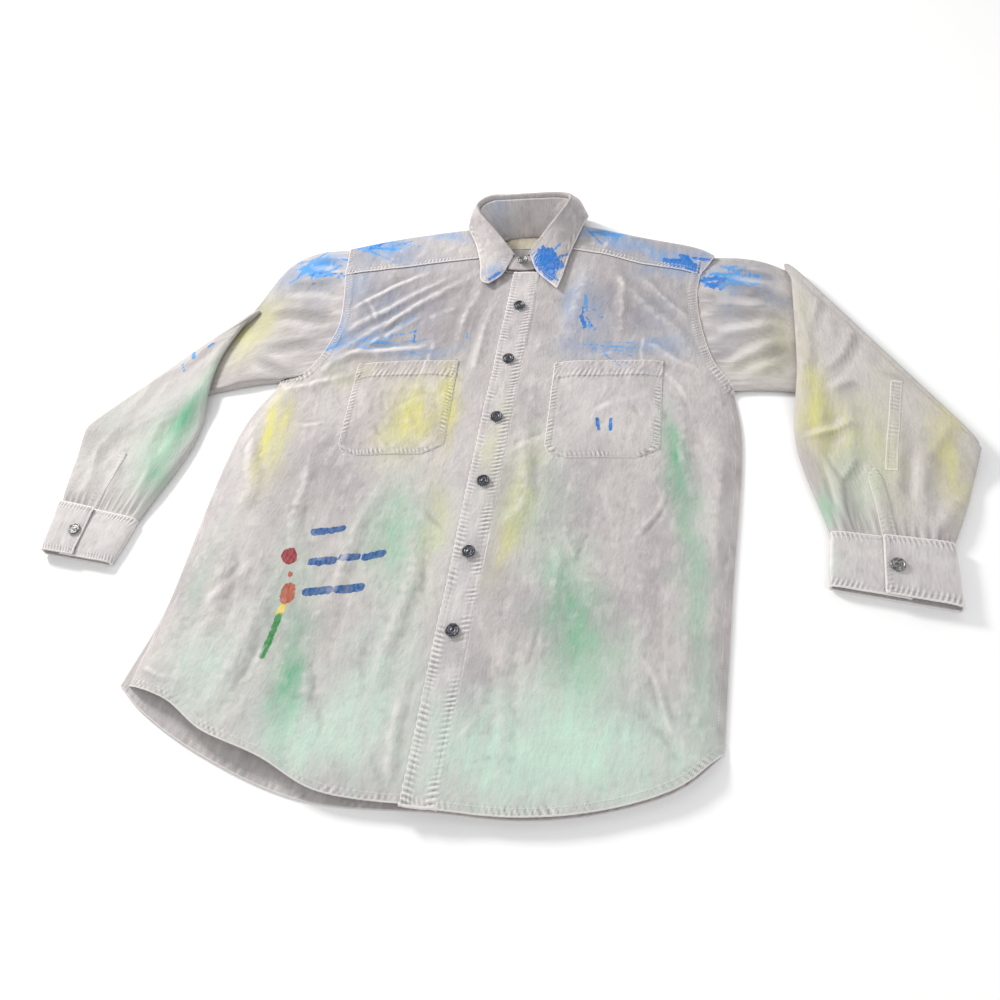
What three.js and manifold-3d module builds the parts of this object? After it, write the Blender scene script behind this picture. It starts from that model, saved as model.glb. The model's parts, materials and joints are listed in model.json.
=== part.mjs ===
// A long-sleeved cotton work shirt worn as a painting smock. It lies on its back with both
// sleeves folded at the elbow, so that each forearm rests on its upper arm.
// Millimetres. +X is the wearer's left side, +Y runs from hem to collar, +Z is up.

import * as THREE from "three";
import { mergeVertices } from "three/addons/utils/BufferGeometryUtils.js";
import Module from "manifold-3d";

const wasm = await Module();
wasm.setup();

// Overall sizes, and the sizes at which the outlines below are drawn
const chestWidth = 617;
const bodyLength = 830;
const sleeveLength = 570;
const drawnChestWidth = 617;
const drawnBodyLength = 830;
const drawnSleeveLength = 570;

// Cloth and fits
const ply = 1.4;
const facing = 1.0;
const interlining = 0.6;
const clearance = 0.4;
const seamGap = 1;
const armholeGap = 3.8;
const bodyLoft = 11;
const rollWidth = 45;
const hemLift = 6;

// Front closure
const buttonPitch = 95;
const firstButtonY = 241;
const frontButtonCount = 6;
const placketWidth = 37.2;
const placketCentreX = 1.4;
const buttonBandWidth = 32;
const buttonholeLength = 17;

// Buttons
const buttonRadius = 7.5;
const buttonThickness = 2.8;
const hubRadius = 3.4;
const hubHeight = 0.8;
const stemRadius = 1.2;
const rivetRadius = 1.8;
const rivetThickness = 0.8;
const tackRadius = 4.5;
const tackThickness = 0.8;
const turnClearance = 0.3;

// Chest pockets
const pocketWidth = 133.4;
const pocketHeight = 150.4;
const pocketChamfer = 20;
const pocketHem = 25;
const pocketLoft = 6;
const leftPocketX = 126.3;
const rightPocketX = -130.8;
const leftPocketTopY = 146.4;
const rightPocketTopY = 143.2;
const leftPocketTurn = 0.027;
const rightPocketTurn = 0.052;

// Neck and collar
const neckWidth = 116;
const neckDepth = 82;
const neckCentreX = -8;
const neckCentreY = 353;
const bandHeightShare = 0.93;
const labelWidth = 44;
const labelHeight = 24;
const labelThickness = 0.5;

// Shoulder yoke and sleeves
const yokeHeight = 12.4;
const yokeBackY = 300;
const sleeveHeight = 9.2;
const cuffInnerHeight = 6.5;
const cuffOverlap = 22;
const sleevePlacketWidth = 14;
const sleevePlacketLength = 84;

// Colours of the materials
const clothColour = 0xe6dfdc;
const liningColour = 0xddd6d3;
const labelColour = 0xcdbf9c;
const gunmetalColour = 0x4b4d52;
const pewterColour = 0x8d8b86;

// ---------------------------------------------------------------- small helpers

const across = (x) => (x * chestWidth) / drawnChestWidth;
const along = (y) => (y * bodyLength) / drawnBodyLength;
const bodyPoint = ([x, y, z = 0]) => new THREE.Vector3(across(x), along(y), z);
const plainPoint = ([x, y, z = 0]) => new THREE.Vector3(x, y, z);
const ease = (t) => THREE.MathUtils.smoothstep(t, 0, 1);
const mix = (a, b, t) => a.clone().lerp(b, t);

function steps(count) {
  return Array.from({ length: count + 1 }, (_, i) => i / count);
}

// A smooth curve through points, by arc length
function through(points) {
  const curve = new THREE.CatmullRomCurve3(points, false, "centripetal");
  return (t) => curve.getPointAt(t);
}

// A smooth curve through points that passes point i at t = i / (count - 1)
function knotted(points) {
  const curve = new THREE.CatmullRomCurve3(points, false, "centripetal");
  return (t) => curve.getPoint(t);
}

// Curves joined end to end, each taking its own share of t
function chain(curves, shares) {
  return (t) => {
    let start = 0;
    for (let i = 0; i < curves.length; i += 1) {
      if (t <= start + shares[i] + 1e-9 || i === curves.length - 1) {
        return curves[i](THREE.MathUtils.clamp((t - start) / shares[i], 0, 1));
      }
      start += shares[i];
    }
    return curves[0](0);
  };
}

// A four-sided patch between its boundary curves, as rows of points
function patch(bottom, top, inner, outer, us, vs) {
  const corner = [inner(0), outer(0), inner(1), outer(1)];
  return vs.map((v) => {
    return us.map((u) => {
      const point = new THREE.Vector3();
      point.addScaledVector(bottom(u), 1 - v);
      point.addScaledVector(top(u), v);
      point.addScaledVector(inner(v), 1 - u);
      point.addScaledVector(outer(v), u);
      point.addScaledVector(corner[0], -(1 - u) * (1 - v));
      point.addScaledVector(corner[1], -u * (1 - v));
      point.addScaledVector(corner[2], -(1 - u) * v);
      point.addScaledVector(corner[3], -u * v);
      return point;
    });
  });
}

// The unit normal of a grid of points at one of its nodes
function gridNormal(rows, i, j, wraps) {
  const last = rows[0].length - 1;
  const before = wraps ? (j + last) % (last + 1) : Math.max(j - 1, 0);
  const after = wraps ? (j + 1) % (last + 1) : Math.min(j + 1, last);
  const acrossStep = rows[i][after].clone().sub(rows[i][before]);
  const above = rows[Math.min(i + 1, rows.length - 1)][j];
  const below = rows[Math.max(i - 1, 0)][j];
  return acrossStep.cross(above.clone().sub(below)).normalize();
}

// The grid moved along its own normals by a distance, or a distance for each node
function offsetGrid(rows, distance, wraps = false) {
  return rows.map((row, i) => {
    return row.map((point, j) => {
      const move = typeof distance === "function" ? distance(i, j) : distance;
      return point.clone().addScaledVector(gridNormal(rows, i, j, wraps), move);
    });
  });
}

// The closed body between two grids of the same size
function between(lower, upper, wraps = false) {
  const rowCount = lower.length;
  const columnCount = lower[0].length;
  const positions = [];
  for (const grid of [lower, upper]) {
    for (const row of grid) {
      for (const point of row) positions.push(point.x, point.y, point.z);
    }
  }
  const index = [];
  const at = (side, i, j) => side * rowCount * columnCount + i * columnCount + (j % columnCount);
  const quad = (a, b, c, d) => index.push(a, b, c, a, c, d);
  const lastColumn = wraps ? columnCount : columnCount - 1;
  for (let i = 0; i < rowCount - 1; i += 1) {
    for (let j = 0; j < lastColumn; j += 1) {
      quad(at(1, i, j), at(1, i, j + 1), at(1, i + 1, j + 1), at(1, i + 1, j));
      quad(at(0, i, j), at(0, i + 1, j), at(0, i + 1, j + 1), at(0, i, j + 1));
    }
  }
  for (let j = 0; j < lastColumn; j += 1) {
    const end = rowCount - 1;
    quad(at(0, 0, j), at(0, 0, j + 1), at(1, 0, j + 1), at(1, 0, j));
    quad(at(1, end, j), at(1, end, j + 1), at(0, end, j + 1), at(0, end, j));
  }
  if (!wraps) {
    for (let i = 0; i < rowCount - 1; i += 1) {
      const end = columnCount - 1;
      quad(at(1, i, 0), at(1, i + 1, 0), at(0, i + 1, 0), at(0, i, 0));
      quad(at(0, i, end), at(0, i + 1, end), at(1, i + 1, end), at(1, i, end));
    }
  }
  const geometry = new THREE.BufferGeometry();
  geometry.setAttribute("position", new THREE.Float32BufferAttribute(positions, 3));
  geometry.setIndex(index);
  return facingOut(geometry);
}

// Turns a closed body's faces round if they point inwards
function facingOut(geometry) {
  const position = geometry.getAttribute("position");
  const order = geometry.getIndex().array;
  const [a, b, c] = [new THREE.Vector3(), new THREE.Vector3(), new THREE.Vector3()];
  let volume = 0;
  for (let i = 0; i < order.length; i += 3) {
    a.fromBufferAttribute(position, order[i]);
    b.fromBufferAttribute(position, order[i + 1]);
    c.fromBufferAttribute(position, order[i + 2]);
    volume += a.dot(b.cross(c));
  }
  if (volume < 0) {
    for (let i = 0; i < order.length; i += 3) [order[i], order[i + 1]] = [order[i + 1], order[i]];
  }
  return geometry;
}

// A sheet of cloth whose lower face is the grid
function sheet(rows, thickness = ply, wraps = false) {
  return between(rows, offsetGrid(rows, thickness, wraps), wraps);
}

// ---------------------------------------------------------------- cutting and joining

function solid(geometry) {
  const bare = geometry.clone();
  bare.deleteAttribute("normal");
  bare.deleteAttribute("uv");
  const merged = mergeVertices(bare, 1e-4);
  const mesh = new wasm.Mesh({
    numProp: 3,
    vertProperties: new Float32Array(merged.getAttribute("position").array),
    triVerts: new Uint32Array(merged.getIndex().array),
  });
  return new wasm.Manifold(mesh);
}

function geometryOf(manifold) {
  const mesh = manifold.getMesh();
  const geometry = new THREE.BufferGeometry();
  geometry.setAttribute("position", new THREE.BufferAttribute(mesh.vertProperties, 3));
  geometry.setIndex(new THREE.BufferAttribute(mesh.triVerts, 1));
  return geometry;
}

function cut(geometry, cutters) {
  let body = solid(geometry);
  for (const cutter of cutters) body = body.subtract(solid(cutter));
  return geometryOf(body);
}

function join(geometries) {
  let body = solid(geometries[0]);
  for (const other of geometries.slice(1)) body = body.add(solid(other));
  return geometryOf(body);
}

const holeDepth = 40;

// An upright round cutter for a button's stem
function stemHole({ x, y }) {
  const radius = stemRadius + turnClearance;
  const cutter = new THREE.CylinderGeometry(radius, radius, holeDepth, 8);
  cutter.rotateX(Math.PI / 2);
  cutter.translate(x, y, holeDepth / 4);
  return cutter;
}

// An upright slot cutter for a buttonhole, long in Y or turned by an angle
function buttonhole({ x, y, turn = 0 }) {
  const radius = stemRadius + turnClearance;
  const half = buttonholeLength / 2 - radius;
  const outline = new THREE.Shape();
  outline.absarc(0, half, radius, 0, Math.PI, false);
  outline.absarc(0, -half, radius, Math.PI, 2 * Math.PI, false);
  const settings = { depth: holeDepth, bevelEnabled: false, curveSegments: 3 };
  const cutter = new THREE.ExtrudeGeometry(outline, settings);
  cutter.rotateZ(turn);
  cutter.translate(x, y, -holeDepth / 4);
  return cutter;
}

// ---------------------------------------------------------------- outlines of the body

const neckAt = (angle, grow = 0, z = 0) => {
  return new THREE.Vector3(
    neckCentreX + (neckWidth / 2 + grow) * Math.cos(angle),
    along(neckCentreY) + (neckDepth / 2 + grow) * Math.sin(angle),
    z,
  );
};
const neckAngleAt = (x, grow) => -Math.acos((x - neckCentreX) / (neckWidth / 2 + grow));
const neckGrow = 3;
const neckEndAngle = 0.12;

const hemCorner = { left: [275, -331], right: [-343, -319] };
const underarm = { left: [277, 108], right: [-303, 115] };
const sideSeam = {
  left: [hemCorner.left, [280, -172], [287, 40], underarm.left],
  right: [hemCorner.right, [-337, -222], [-331, 40], underarm.right],
};
const armhole = {
  left: [underarm.left, [250, 149], [231, 217], [225, 271], [228, 306]],
  right: [underarm.right, [-266, 130], [-243, 205], [-248, 260], [-260, 317]],
};
const frontHem = {
  left: [[20, -414], [97, -411], [167, -397], [236, -368], hemCorner.left],
  right: [[14, -411], [-102, -408], [-166, -383], [-236, -363], [-286, -335], hemCorner.right],
};
const yokeSeam = {
  left: [[53, 360], [104, 347], [152, 328], [211, 313], [228, 306]],
  right: [[-69, 344], [-140, 334], [-212, 323], [-260, 317]],
};
const yokeBackEdge = { left: 225, right: -252 };
const shoulderLine = {
  left: [[53, 414], [148, 382], [229, 355], [247, 341]],
  right: [[-69, 411], [-185, 392], [-267, 371]],
};
const backHem = [
  [-354, -319], [-321, -343], [-236, -383], [-118, -416], [15, -413], [97, -411],
  [167, -397], [236, -368], hemCorner.left,
];

const placketEdge = placketCentreX + placketWidth / 2;
const bandEdge = buttonBandWidth / 2;
const placketLevel = bodyLoft + ply + clearance + facing + clearance;
const sideEdgeHeight = ply + clearance + 0.3;
const placketSlope = 40;
const hemMouthX = -225;
const hemMouthHalf = 140;
const hemMouthDepth = 120;

// How far the front stands above the back, by the distance in from its edge
function frontHeight(point, fromEdge, edgeHeight, side, fromHem) {
  const rise = Math.sin(Math.min(fromEdge / rollWidth, 1) * (Math.PI / 2));
  let height = edgeHeight + (bodyLoft - edgeHeight) * rise;
  if (side === "left") {
    height += (placketLevel - bodyLoft) * (1 - ease((point.x - placketEdge) / placketSlope));
  } else {
    const mouth = 1 - ease(Math.abs(point.x - across(hemMouthX)) / across(hemMouthHalf));
    height += hemLift * mouth * (1 - ease(fromHem / hemMouthDepth));
  }
  return height;
}

function frontPanel(side) {
  const innerX = side === "left" ? placketEdge + clearance : bandEdge;
  const yokeEnd = plainNeckEnd(side);
  const neckStart = neckAngleAt(innerX, neckGrow);
  const neckStop = side === "left" ? -neckEndAngle : neckEndAngle - Math.PI;
  const neckCurve = (t) => neckAt(THREE.MathUtils.lerp(neckStart, neckStop, t), neckGrow);
  const hem = frontHem[side].map(bodyPoint);
  hem[0].x = innerX;
  const edge = through([hem[0], new THREE.Vector3(innerX, neckCurve(0).y, 0)]);
  const seam = yokeSeam[side].map(bodyPoint);
  seam[0] = yokeEnd;
  seam.forEach((point) => {
    point.y -= seamGap;
  });
  const neckShare = 0.12;
  const neckRun = (t) => (t < 1 ? neckCurve(t) : yokeEnd.clone());
  const inner = chain([edge, neckRun], [1 - neckShare, neckShare]);
  const sideEdge = through(sideSeam[side].map(bodyPoint));
  const armEdge = through([...armhole[side].slice(0, -1).map(bodyPoint), seam[seam.length - 1]]);
  const sideShare = 0.66;
  const outer = chain([sideEdge, armEdge], [sideShare, 1 - sideShare]);
  const us = [0, 0.12, 0.28, 0.46, 0.64, 0.78, 0.88, 0.94, 0.98, 1];
  const vs = [0, 0.05, 0.1, 0.18, 0.28, 0.4, 0.52, 0.6, 0.66, 0.72, 0.78, 0.84, 0.88, 0.92, 0.96, 1];
  const rows = patch(through(hem), through(seam), inner, outer, us, vs);
  const hemLine = rows[0].map((point) => point.y);
  rows.forEach((row, i) => {
    const rim = row[row.length - 1].clone();
    const onArmhole = ease((vs[i] - sideShare + 0.04) / 0.08);
    const edgeHeight = THREE.MathUtils.lerp(sideEdgeHeight, sleeveHeight, onArmhole);
    row.forEach((point, j) => {
      const fromEdge = Math.hypot(rim.x - point.x, rim.y - point.y);
      point.z = frontHeight(point, fromEdge, edgeHeight, side, point.y - hemLine[j]);
    });
  });
  return side === "left" ? rows : rows.map((row) => row.reverse());
}

// Where the yoke's front seam meets the neck
function plainNeckEnd(side) {
  const point = bodyPoint(yokeSeam[side][0]);
  point.x = neckCentreX + (side === "left" ? 1 : -1) * (neckWidth / 2 + neckGrow);
  return point;
}

function backPanel() {
  const hem = through(backHem.map(bodyPoint));
  const top = yokeBackY - clearance;
  const rightTop = new THREE.Vector3(across(yokeBackEdge.right), along(top), 0);
  const leftTop = new THREE.Vector3(across(yokeBackEdge.left), along(top), 0);
  const rightHem = bodyPoint(backHem[0]);
  const right = chain(
    [through([rightHem, ...sideSeam.right.slice(1).map(bodyPoint)]),
      through([...armhole.right.slice(0, 4).map(bodyPoint), rightTop])],
    [0.68, 0.32],
  );
  const left = chain(
    [through(sideSeam.left.map(bodyPoint)),
      through([...armhole.left.slice(0, 4).map(bodyPoint), leftTop])],
    [0.68, 0.32],
  );
  return patch(hem, through([rightTop, leftTop]), right, left, steps(9), steps(12));
}

// ---------------------------------------------------------------- yoke

// One side of a yoke layer, from the back seam round the shoulder to the front seam
function yokeWrap(side, inset) {
  const back = through([
    new THREE.Vector3(plainNeckEnd(side).x, along(yokeBackY), 0),
    new THREE.Vector3(across(yokeBackEdge[side]), along(yokeBackY), 0),
  ]);
  const shoulder = shoulderLine[side].map(bodyPoint);
  shoulder[0].x = plainNeckEnd(side).x;
  shoulder[shoulder.length - 1].x -= (side === "left" ? 1 : -1) * 1.5 * seamGap;
  const front = yokeSeam[side].map(bodyPoint);
  front[0] = plainNeckEnd(side);
  const [ridge, seam] = [through(shoulder), through(front)];
  const radius = yokeHeight / 2 - inset;
  const middle = yokeHeight / 2;
  const bend = [-90, -50, 0, 50, 90].map(THREE.MathUtils.degToRad);
  return steps(6).map((q) => {
    const crest = ridge(q);
    crest.y -= inset;
    const row = [back(q), mix(back(q), crest, 0.5)];
    row.forEach((point) => {
      point.z = middle - radius;
    });
    for (const angle of bend) {
      row.push(new THREE.Vector3(
        crest.x,
        crest.y - radius * (1 - Math.cos(angle)),
        middle + radius * Math.sin(angle),
      ));
    }
    const end = seam(q);
    row.push(new THREE.Vector3(mix(crest, end, 0.5).x, mix(crest, end, 0.5).y, middle + radius));
    row.push(new THREE.Vector3(end.x, end.y, middle + radius));
    return row;
  });
}

function yokeLayer(inset, thickness) {
  const wraps = ["left", "right"].map((side) => {
    const rows = yokeWrap(side, inset);
    const outwards = side === "left" ? -1 : 1;
    return between(rows, offsetGrid(rows, outwards * thickness));
  });
  const bridgeLap = 12;
  const halfWidth = neckWidth / 2 + neckGrow + bridgeLap;
  const depth = neckAt(Math.PI / 2).y - along(yokeBackY);
  const bridge = new THREE.BoxGeometry(2 * halfWidth, depth, thickness);
  bridge.translate(neckCentreX, along(yokeBackY) + depth / 2, inset + thickness / 2);
  return join([bridge, ...wraps]);
}

// ---------------------------------------------------------------- placket and button band

const frontButtons = Array.from({ length: frontButtonCount }, (_, i) => {
  return { x: placketCentreX, y: along(firstButtonY) - i * buttonPitch };
});
const placketTop = neckAt(-Math.PI / 2, neckGrow).y - 1;
const placketBottom = along(-414);

// A straight strip down the front
function strip(width, bottom, height, thickness) {
  const length = placketTop - bottom;
  const box = new THREE.BoxGeometry(width, length, thickness);
  box.translate(placketCentreX, bottom + length / 2, height + thickness / 2);
  return box;
}

// ---------------------------------------------------------------- pockets

function pocket(x, topY, turn) {
  const half = pocketWidth / 2;
  const chamferSlope = 0.55;
  const widthAt = (down) => {
    const fromFoot = pocketHeight - down;
    return half - pocketChamfer * (1 - Math.min(fromFoot / pocketChamfer, 1)) * chamferSlope;
  };
  const onPocket = [1, 0.95, 1 - pocketChamfer / pocketHeight, 0.6, 0.4, pocketHem / pocketHeight, 0.08, 0];
  const downs = onPocket.map((share) => share * pocketHeight);
  const rows = downs.map((down) => {
    return steps(8).map((u) => {
      const local = new THREE.Vector3((2 * u - 1) * widthAt(down), -down, 0);
      local.applyAxisAngle(new THREE.Vector3(0, 0, 1), turn);
      const puff = Math.sqrt(Math.sin(u * Math.PI)) * ease(1 - down / pocketHeight);
      local.z = bodyLoft + ply + clearance + pocketLoft * puff;
      return local.add(new THREE.Vector3(x, along(topY), 0));
    });
  });
  const hemPly = 1.6 * ply;
  const depth = (i) => (downs[i] <= pocketHem ? hemPly : ply);
  return between(rows, offsetGrid(rows, depth));
}

// ---------------------------------------------------------------- collar

// Stations of the fold line, from the right end under the button to the left end over it
const foldStations = [
  [12, 338, 12.5], [-10, 337, 12.5], [-25, 342, 16], [-45, 363, 28.5], [-74, 395, 42], [-75, 410, 46],
  [-62, 420, 49], [-30, 421, 50.5], [10, 421, 51.5], [38, 420, 52], [51, 415, 52],
  [50, 404, 48.5], [31, 377, 36], [14, 352, 25.5], [2, 337, 19.6], [-24, 336, 19.6],
];
// For each station, the place on the neck opening by angle, and the seam's height
const seamStations = [
  [-70, 11], [-95, 11], [-120, 11.2], [-165, 11.5], [-212, 8.5], [-232, 6.5],
  [-243, 5.5], [-258, 5], [-282, 5], [-300, 6], [-310, 7],
  [-322, 8.5], [-350, 12], [-390, 14.5], [-420, 16.6], [-466, 17.6],
];
const drawnNeckWidth = 116;
const drawnNeckDepth = 82;
const drawnNeckCentre = [-8, 353];
const neckScale = new THREE.Vector3(neckWidth / drawnNeckWidth, neckDepth / drawnNeckDepth, 1);
const neckCentre = new THREE.Vector3(neckCentreX, along(neckCentreY), 0);

// A collar point, kept in its place against the neck opening
function collarPoint([x, y, z]) {
  const local = new THREE.Vector3(x - drawnNeckCentre[0], y - drawnNeckCentre[1], z);
  return local.multiply(neckScale).add(neckCentre);
}

function bandGrid() {
  const fold = knotted(foldStations.map(collarPoint));
  const seamPoint = ([degrees, z]) => neckAt(THREE.MathUtils.degToRad(degrees), 0, z);
  const seam = knotted(seamStations.map(seamPoint));
  return steps(36).map((t) => {
    return [0, 0.5, 1].map((share) => mix(seam(t), fold(t), share * bandHeightShare));
  });
}

const wingFold = {
  left: [[2, 335, 23], [50, 405, 51]],
  right: [[-19, 334, 23], [-74, 395, 45.5]],
};
const wingFront = {
  left: [[16, 307, 20.5], [47, 274, 18.5]],
  right: [[-32, 300, 20], [-48, 285, 18.5]],
};
const wingEdge = {
  left: [[50, 288, 18.5], [57, 343, 18.5], [66, 385, 18.5], [71, 409, 19]],
  right: [[-58, 291, 18.5], [-66, 326, 18.5], [-80, 367, 18], [-96, 401, 17]],
};
const wingBack = { left: [62, 409, 41], right: [-87, 399, 36] };
// A wing hangs this far outside the fold line
const wingStandOff = 1.8;

function wingGrid(side) {
  const [start, end] = wingFold[side].map(collarPoint);
  const out = end.clone().sub(start).cross(new THREE.Vector3(0, 0, 1)).normalize();
  out.multiplyScalar(side === "left" ? wingStandOff : -wingStandOff);
  const foldEdge = through([start.clone().add(out), end.clone().add(out)]);
  const [middle, tip] = wingFront[side].map(collarPoint);
  const edgePoints = wingEdge[side].map(collarPoint);
  const frontEdge = through([foldEdge(0), middle, tip]);
  const backEdge = through([foldEdge(1), collarPoint(wingBack[side]), edgePoints[edgePoints.length - 1]]);
  return patch(foldEdge, through([tip, ...edgePoints]), frontEdge, backEdge, steps(7), steps(4));
}

const backFold = [
  [52.5, 408, 51.5], [53, 418, 54.5], [36, 424, 54.5], [0, 425, 53.5],
  [-34, 425, 52.5], [-64, 425, 51.5], [-79, 412, 48.5], [-77, 398, 45.5],
];
const backEdge = [
  [73, 413, 17], [71, 432, 10], [36, 445, 6], [0, 447, 5.5],
  [-34, 447, 5.5], [-62, 445, 6], [-92, 430, 10], [-98, 406, 15],
];

function backLeafGrid() {
  const fold = knotted(backFold.map(collarPoint));
  const edge = knotted(backEdge.map(collarPoint));
  return steps(18).map((t) => steps(3).map((share) => mix(fold(t), edge(t), share)));
}

// ---------------------------------------------------------------- sleeves

const shoulderTip = { left: [247, 341], right: [-267, 371] };
const elbowFold = { left: [[343, 321], [534, 33]], right: [[-375, 243], [-544, 29]] };
const shoulderBulge = { left: 8, right: 42 };
const underarmBulge = { left: 28, right: 16 };
const forearmInner = {
  left: [[347, 150], [345, 28], [376, -86]],
  right: [[-396, 150], [-388, 10], [-418, -112]],
};
const forearmOuter = { left: [[514, -40], [494, -96]], right: [[-542, -30], [-533, -92]] };
const cuffFoot = { left: [[372, -151], [494, -168]], right: [[-427, -174], [-524, -163]] };

// A sleeve point, carried by the shoulder and scaled with the sleeve's length
function sleevePoint(side, [x, y]) {
  const tip = shoulderTip[side];
  const scale = sleeveLength / drawnSleeveLength;
  const moved = bodyPoint(tip);
  moved.x += (x - tip[0]) * scale;
  moved.y += (y - tip[1]) * scale;
  return moved;
}

// Each sleeve tube ends this far inside the elbow's fold line
const foldInset = 2;

// The flat direction from a sleeve's fold line back towards the body
function foldInward(foldTop, foldLow) {
  const direction = foldLow.clone().sub(foldTop).setZ(0).normalize();
  const inward = new THREE.Vector3(direction.y, -direction.x, 0);
  return inward.multiplyScalar(-Math.sign(inward.x * foldTop.x));
}

// The armhole from the shoulder tip down to the underarm, clear of the body panels
function armholeCurve(side) {
  const outwards = side === "left" ? armholeGap : -armholeGap;
  const points = [shoulderTip[side], ...[...armhole[side]].reverse()].map(bodyPoint);
  points.forEach((point) => {
    point.x += outwards;
  });
  return through(points);
}

function upperSleeve(side) {
  const mouth = armholeCurve(side);
  const [foldTop, foldLow] = elbowFold[side].map((point) => sleevePoint(side, point));
  const inwards = side === "left" ? -1 : 1;
  const foldNormal = foldInward(foldTop, foldLow);
  const rings = [0, 0.2, 0.4, 0.6, 0.8, 1].map((t) => {
    const loops = [0, ply].map((inset) => {
      const stops = [0, 0.04, 0.3, 0.5, 0.7, 0.96, 1];
      const line = stops.map((share) => {
        const start = mouth(share);
        const end = mix(foldTop, foldLow, share).addScaledVector(foldNormal, foldInset);
        const point = mix(start, end, t);
        const bulge = 4 * t * (1 - t);
        point.y += bulge * (shoulderBulge[side] * (1 - share) ** 3 + underarmBulge[side] * share ** 3);
        point.x -= inwards * bulge * shoulderBulge[side] * 0.8 * (1 - share) ** 3;
        return point;
      });
      const push = line[line.length - 1].clone().sub(line[0]).normalize().multiplyScalar(inset);
      const loop = line.map((point, i) => {
        const z = i === 0 || i === line.length - 1 ? sleeveHeight / 2 : sleeveHeight - inset;
        const moved = point.clone();
        if (i < 2) moved.add(push);
        if (i > line.length - 3) moved.sub(push);
        moved.z = z;
        return moved;
      });
      for (let i = line.length - 2; i > 0; i -= 1) {
        const under = loop[i].clone();
        under.z = inset;
        loop.push(under);
      }
      return loop;
    });
    return loops;
  });
  return between(rings.map((ring) => ring[1]), rings.map((ring) => ring[0]), true);
}

// The forearm's two edges, from the elbow fold to the cuff
function forearmEdges(side) {
  const [foldTop, foldLow] = elbowFold[side].map((point) => sleevePoint(side, point));
  const inner = through([foldTop, ...forearmInner[side].map((point) => sleevePoint(side, point))]);
  const outer = through([foldLow, ...forearmOuter[side].map((point) => sleevePoint(side, point))]);
  return { inner, outer, foldTop, foldLow };
}

const restMargin = 8;
const slopeLength = 55;

// How high the forearm's underside lies: on the upper arm near the fold, then down on the floor
function forearmBase(side, point) {
  const [, foldLow] = elbowFold[side].map((stop) => sleevePoint(side, stop));
  const elbow = sleevePoint(side, side === "left" ? [330, 128] : [-359, 113]);
  const edge = foldLow.clone().sub(elbow);
  const lift = sleeveHeight + 3 * clearance;
  const drop = (elbow.y - point.y) * Math.abs(edge.x);
  const reach = Math.abs(point.x - elbow.x) * (elbow.y - foldLow.y);
  const below = (drop - reach) / Math.hypot(edge.x, edge.y);
  return lift * (1 - ease((below - restMargin) / slopeLength));
}

function forearmTube(side) {
  const { inner, outer, foldTop, foldLow } = forearmEdges(side);
  const normal = foldInward(foldTop, foldLow);
  const stops = [0, 0.06, 0.3, 0.5, 0.7, 0.94, 1];
  const rings = [0, 0.06, 0.14, 0.24, 0.36, 0.5, 0.64, 0.78, 0.9, 1].map((t) => {
    return [0, ply].map((inset) => {
      const line = stops.map((share) => {
        const point = mix(inner(t), outer(t), share);
        return point.addScaledVector(normal, t === 0 ? foldInset : 0);
      });
      const push = line[line.length - 1].clone().sub(line[0]).normalize().multiplyScalar(inset);
      const loop = line.map((point, i) => {
        const moved = point.clone();
        if (i < 2) moved.add(push);
        if (i > line.length - 3) moved.sub(push);
        const isRim = i === 0 || i === line.length - 1;
        moved.z = forearmBase(side, point) + (isRim ? sleeveHeight / 2 : sleeveHeight - inset);
        return moved;
      });
      for (let i = line.length - 2; i > 0; i -= 1) {
        const under = loop[i].clone();
        under.z = forearmBase(side, line[i]) + inset;
        loop.push(under);
      }
      return loop;
    });
  });
  return between(rings.map((ring) => ring[1]), rings.map((ring) => ring[0]), true);
}

const cuffPly = 1.1;
const cuffTurn = 6;
const cuffWall = 2 * cuffPly + clearance;
const cuffHeight = cuffInnerHeight + 2 * cuffWall;
const cuffButtonShare = { left: 0.52, right: 0.62 };

function cuffCorners(side) {
  const gap = 2 * clearance;
  const { inner, outer } = forearmEdges(side);
  const head = [inner(1), outer(1)];
  const foot = cuffFoot[side].map((point) => sleevePoint(side, point));
  head.forEach((point, i) => {
    point.addScaledVector(foot[i].clone().sub(point).normalize(), gap);
  });
  return { head, foot };
}

// One layer of a cuff: a ribbon that starts inside its overlap and ends over it
function cuffLayer(side, inset, thickness) {
  const { head, foot } = cuffCorners(side);
  const width = head[0].distanceTo(head[1]);
  const turn = (cuffTurn + 1.5 * inset) / width;
  const half = cuffOverlap / 2 / width;
  const centre = cuffButtonShare[side];
  const top = cuffHeight - inset;
  const over = cuffHeight + cuffWall + clearance - inset;
  const rim = inset / width;
  const low = cuffHeight * 0.2 + 0.7 * inset;
  const stops = [
    [centre + half, top], [centre - half, top], [turn, top], [rim * 1.2, top * 0.8],
    [rim, cuffHeight / 2], [rim * 1.2, low], [turn, inset], [0.35, inset], [0.65, inset],
    [1 - turn, inset], [1 - rim * 1.2, low], [1 - rim, cuffHeight / 2],
    [1 - rim * 1.2, over * 0.8], [1 - turn, over], [centre + half, over], [centre - half, over],
  ];
  const rows = steps(2).map((v) => {
    const from = mix(head[0], foot[0], v);
    const to = mix(head[1], foot[1], v);
    return stops.map(([share, z]) => {
      const point = mix(from, to, share);
      point.z = z;
      return point;
    });
  });
  const inwards = side === "left" ? -1 : 1;
  return between(rows, offsetGrid(rows, inwards * thickness));
}

function cuffButtonPlace(side) {
  const { head, foot } = cuffCorners(side);
  const share = cuffButtonShare[side];
  return mix(mix(head[0], head[1], share), mix(foot[0], foot[1], share), 0.52);
}

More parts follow.
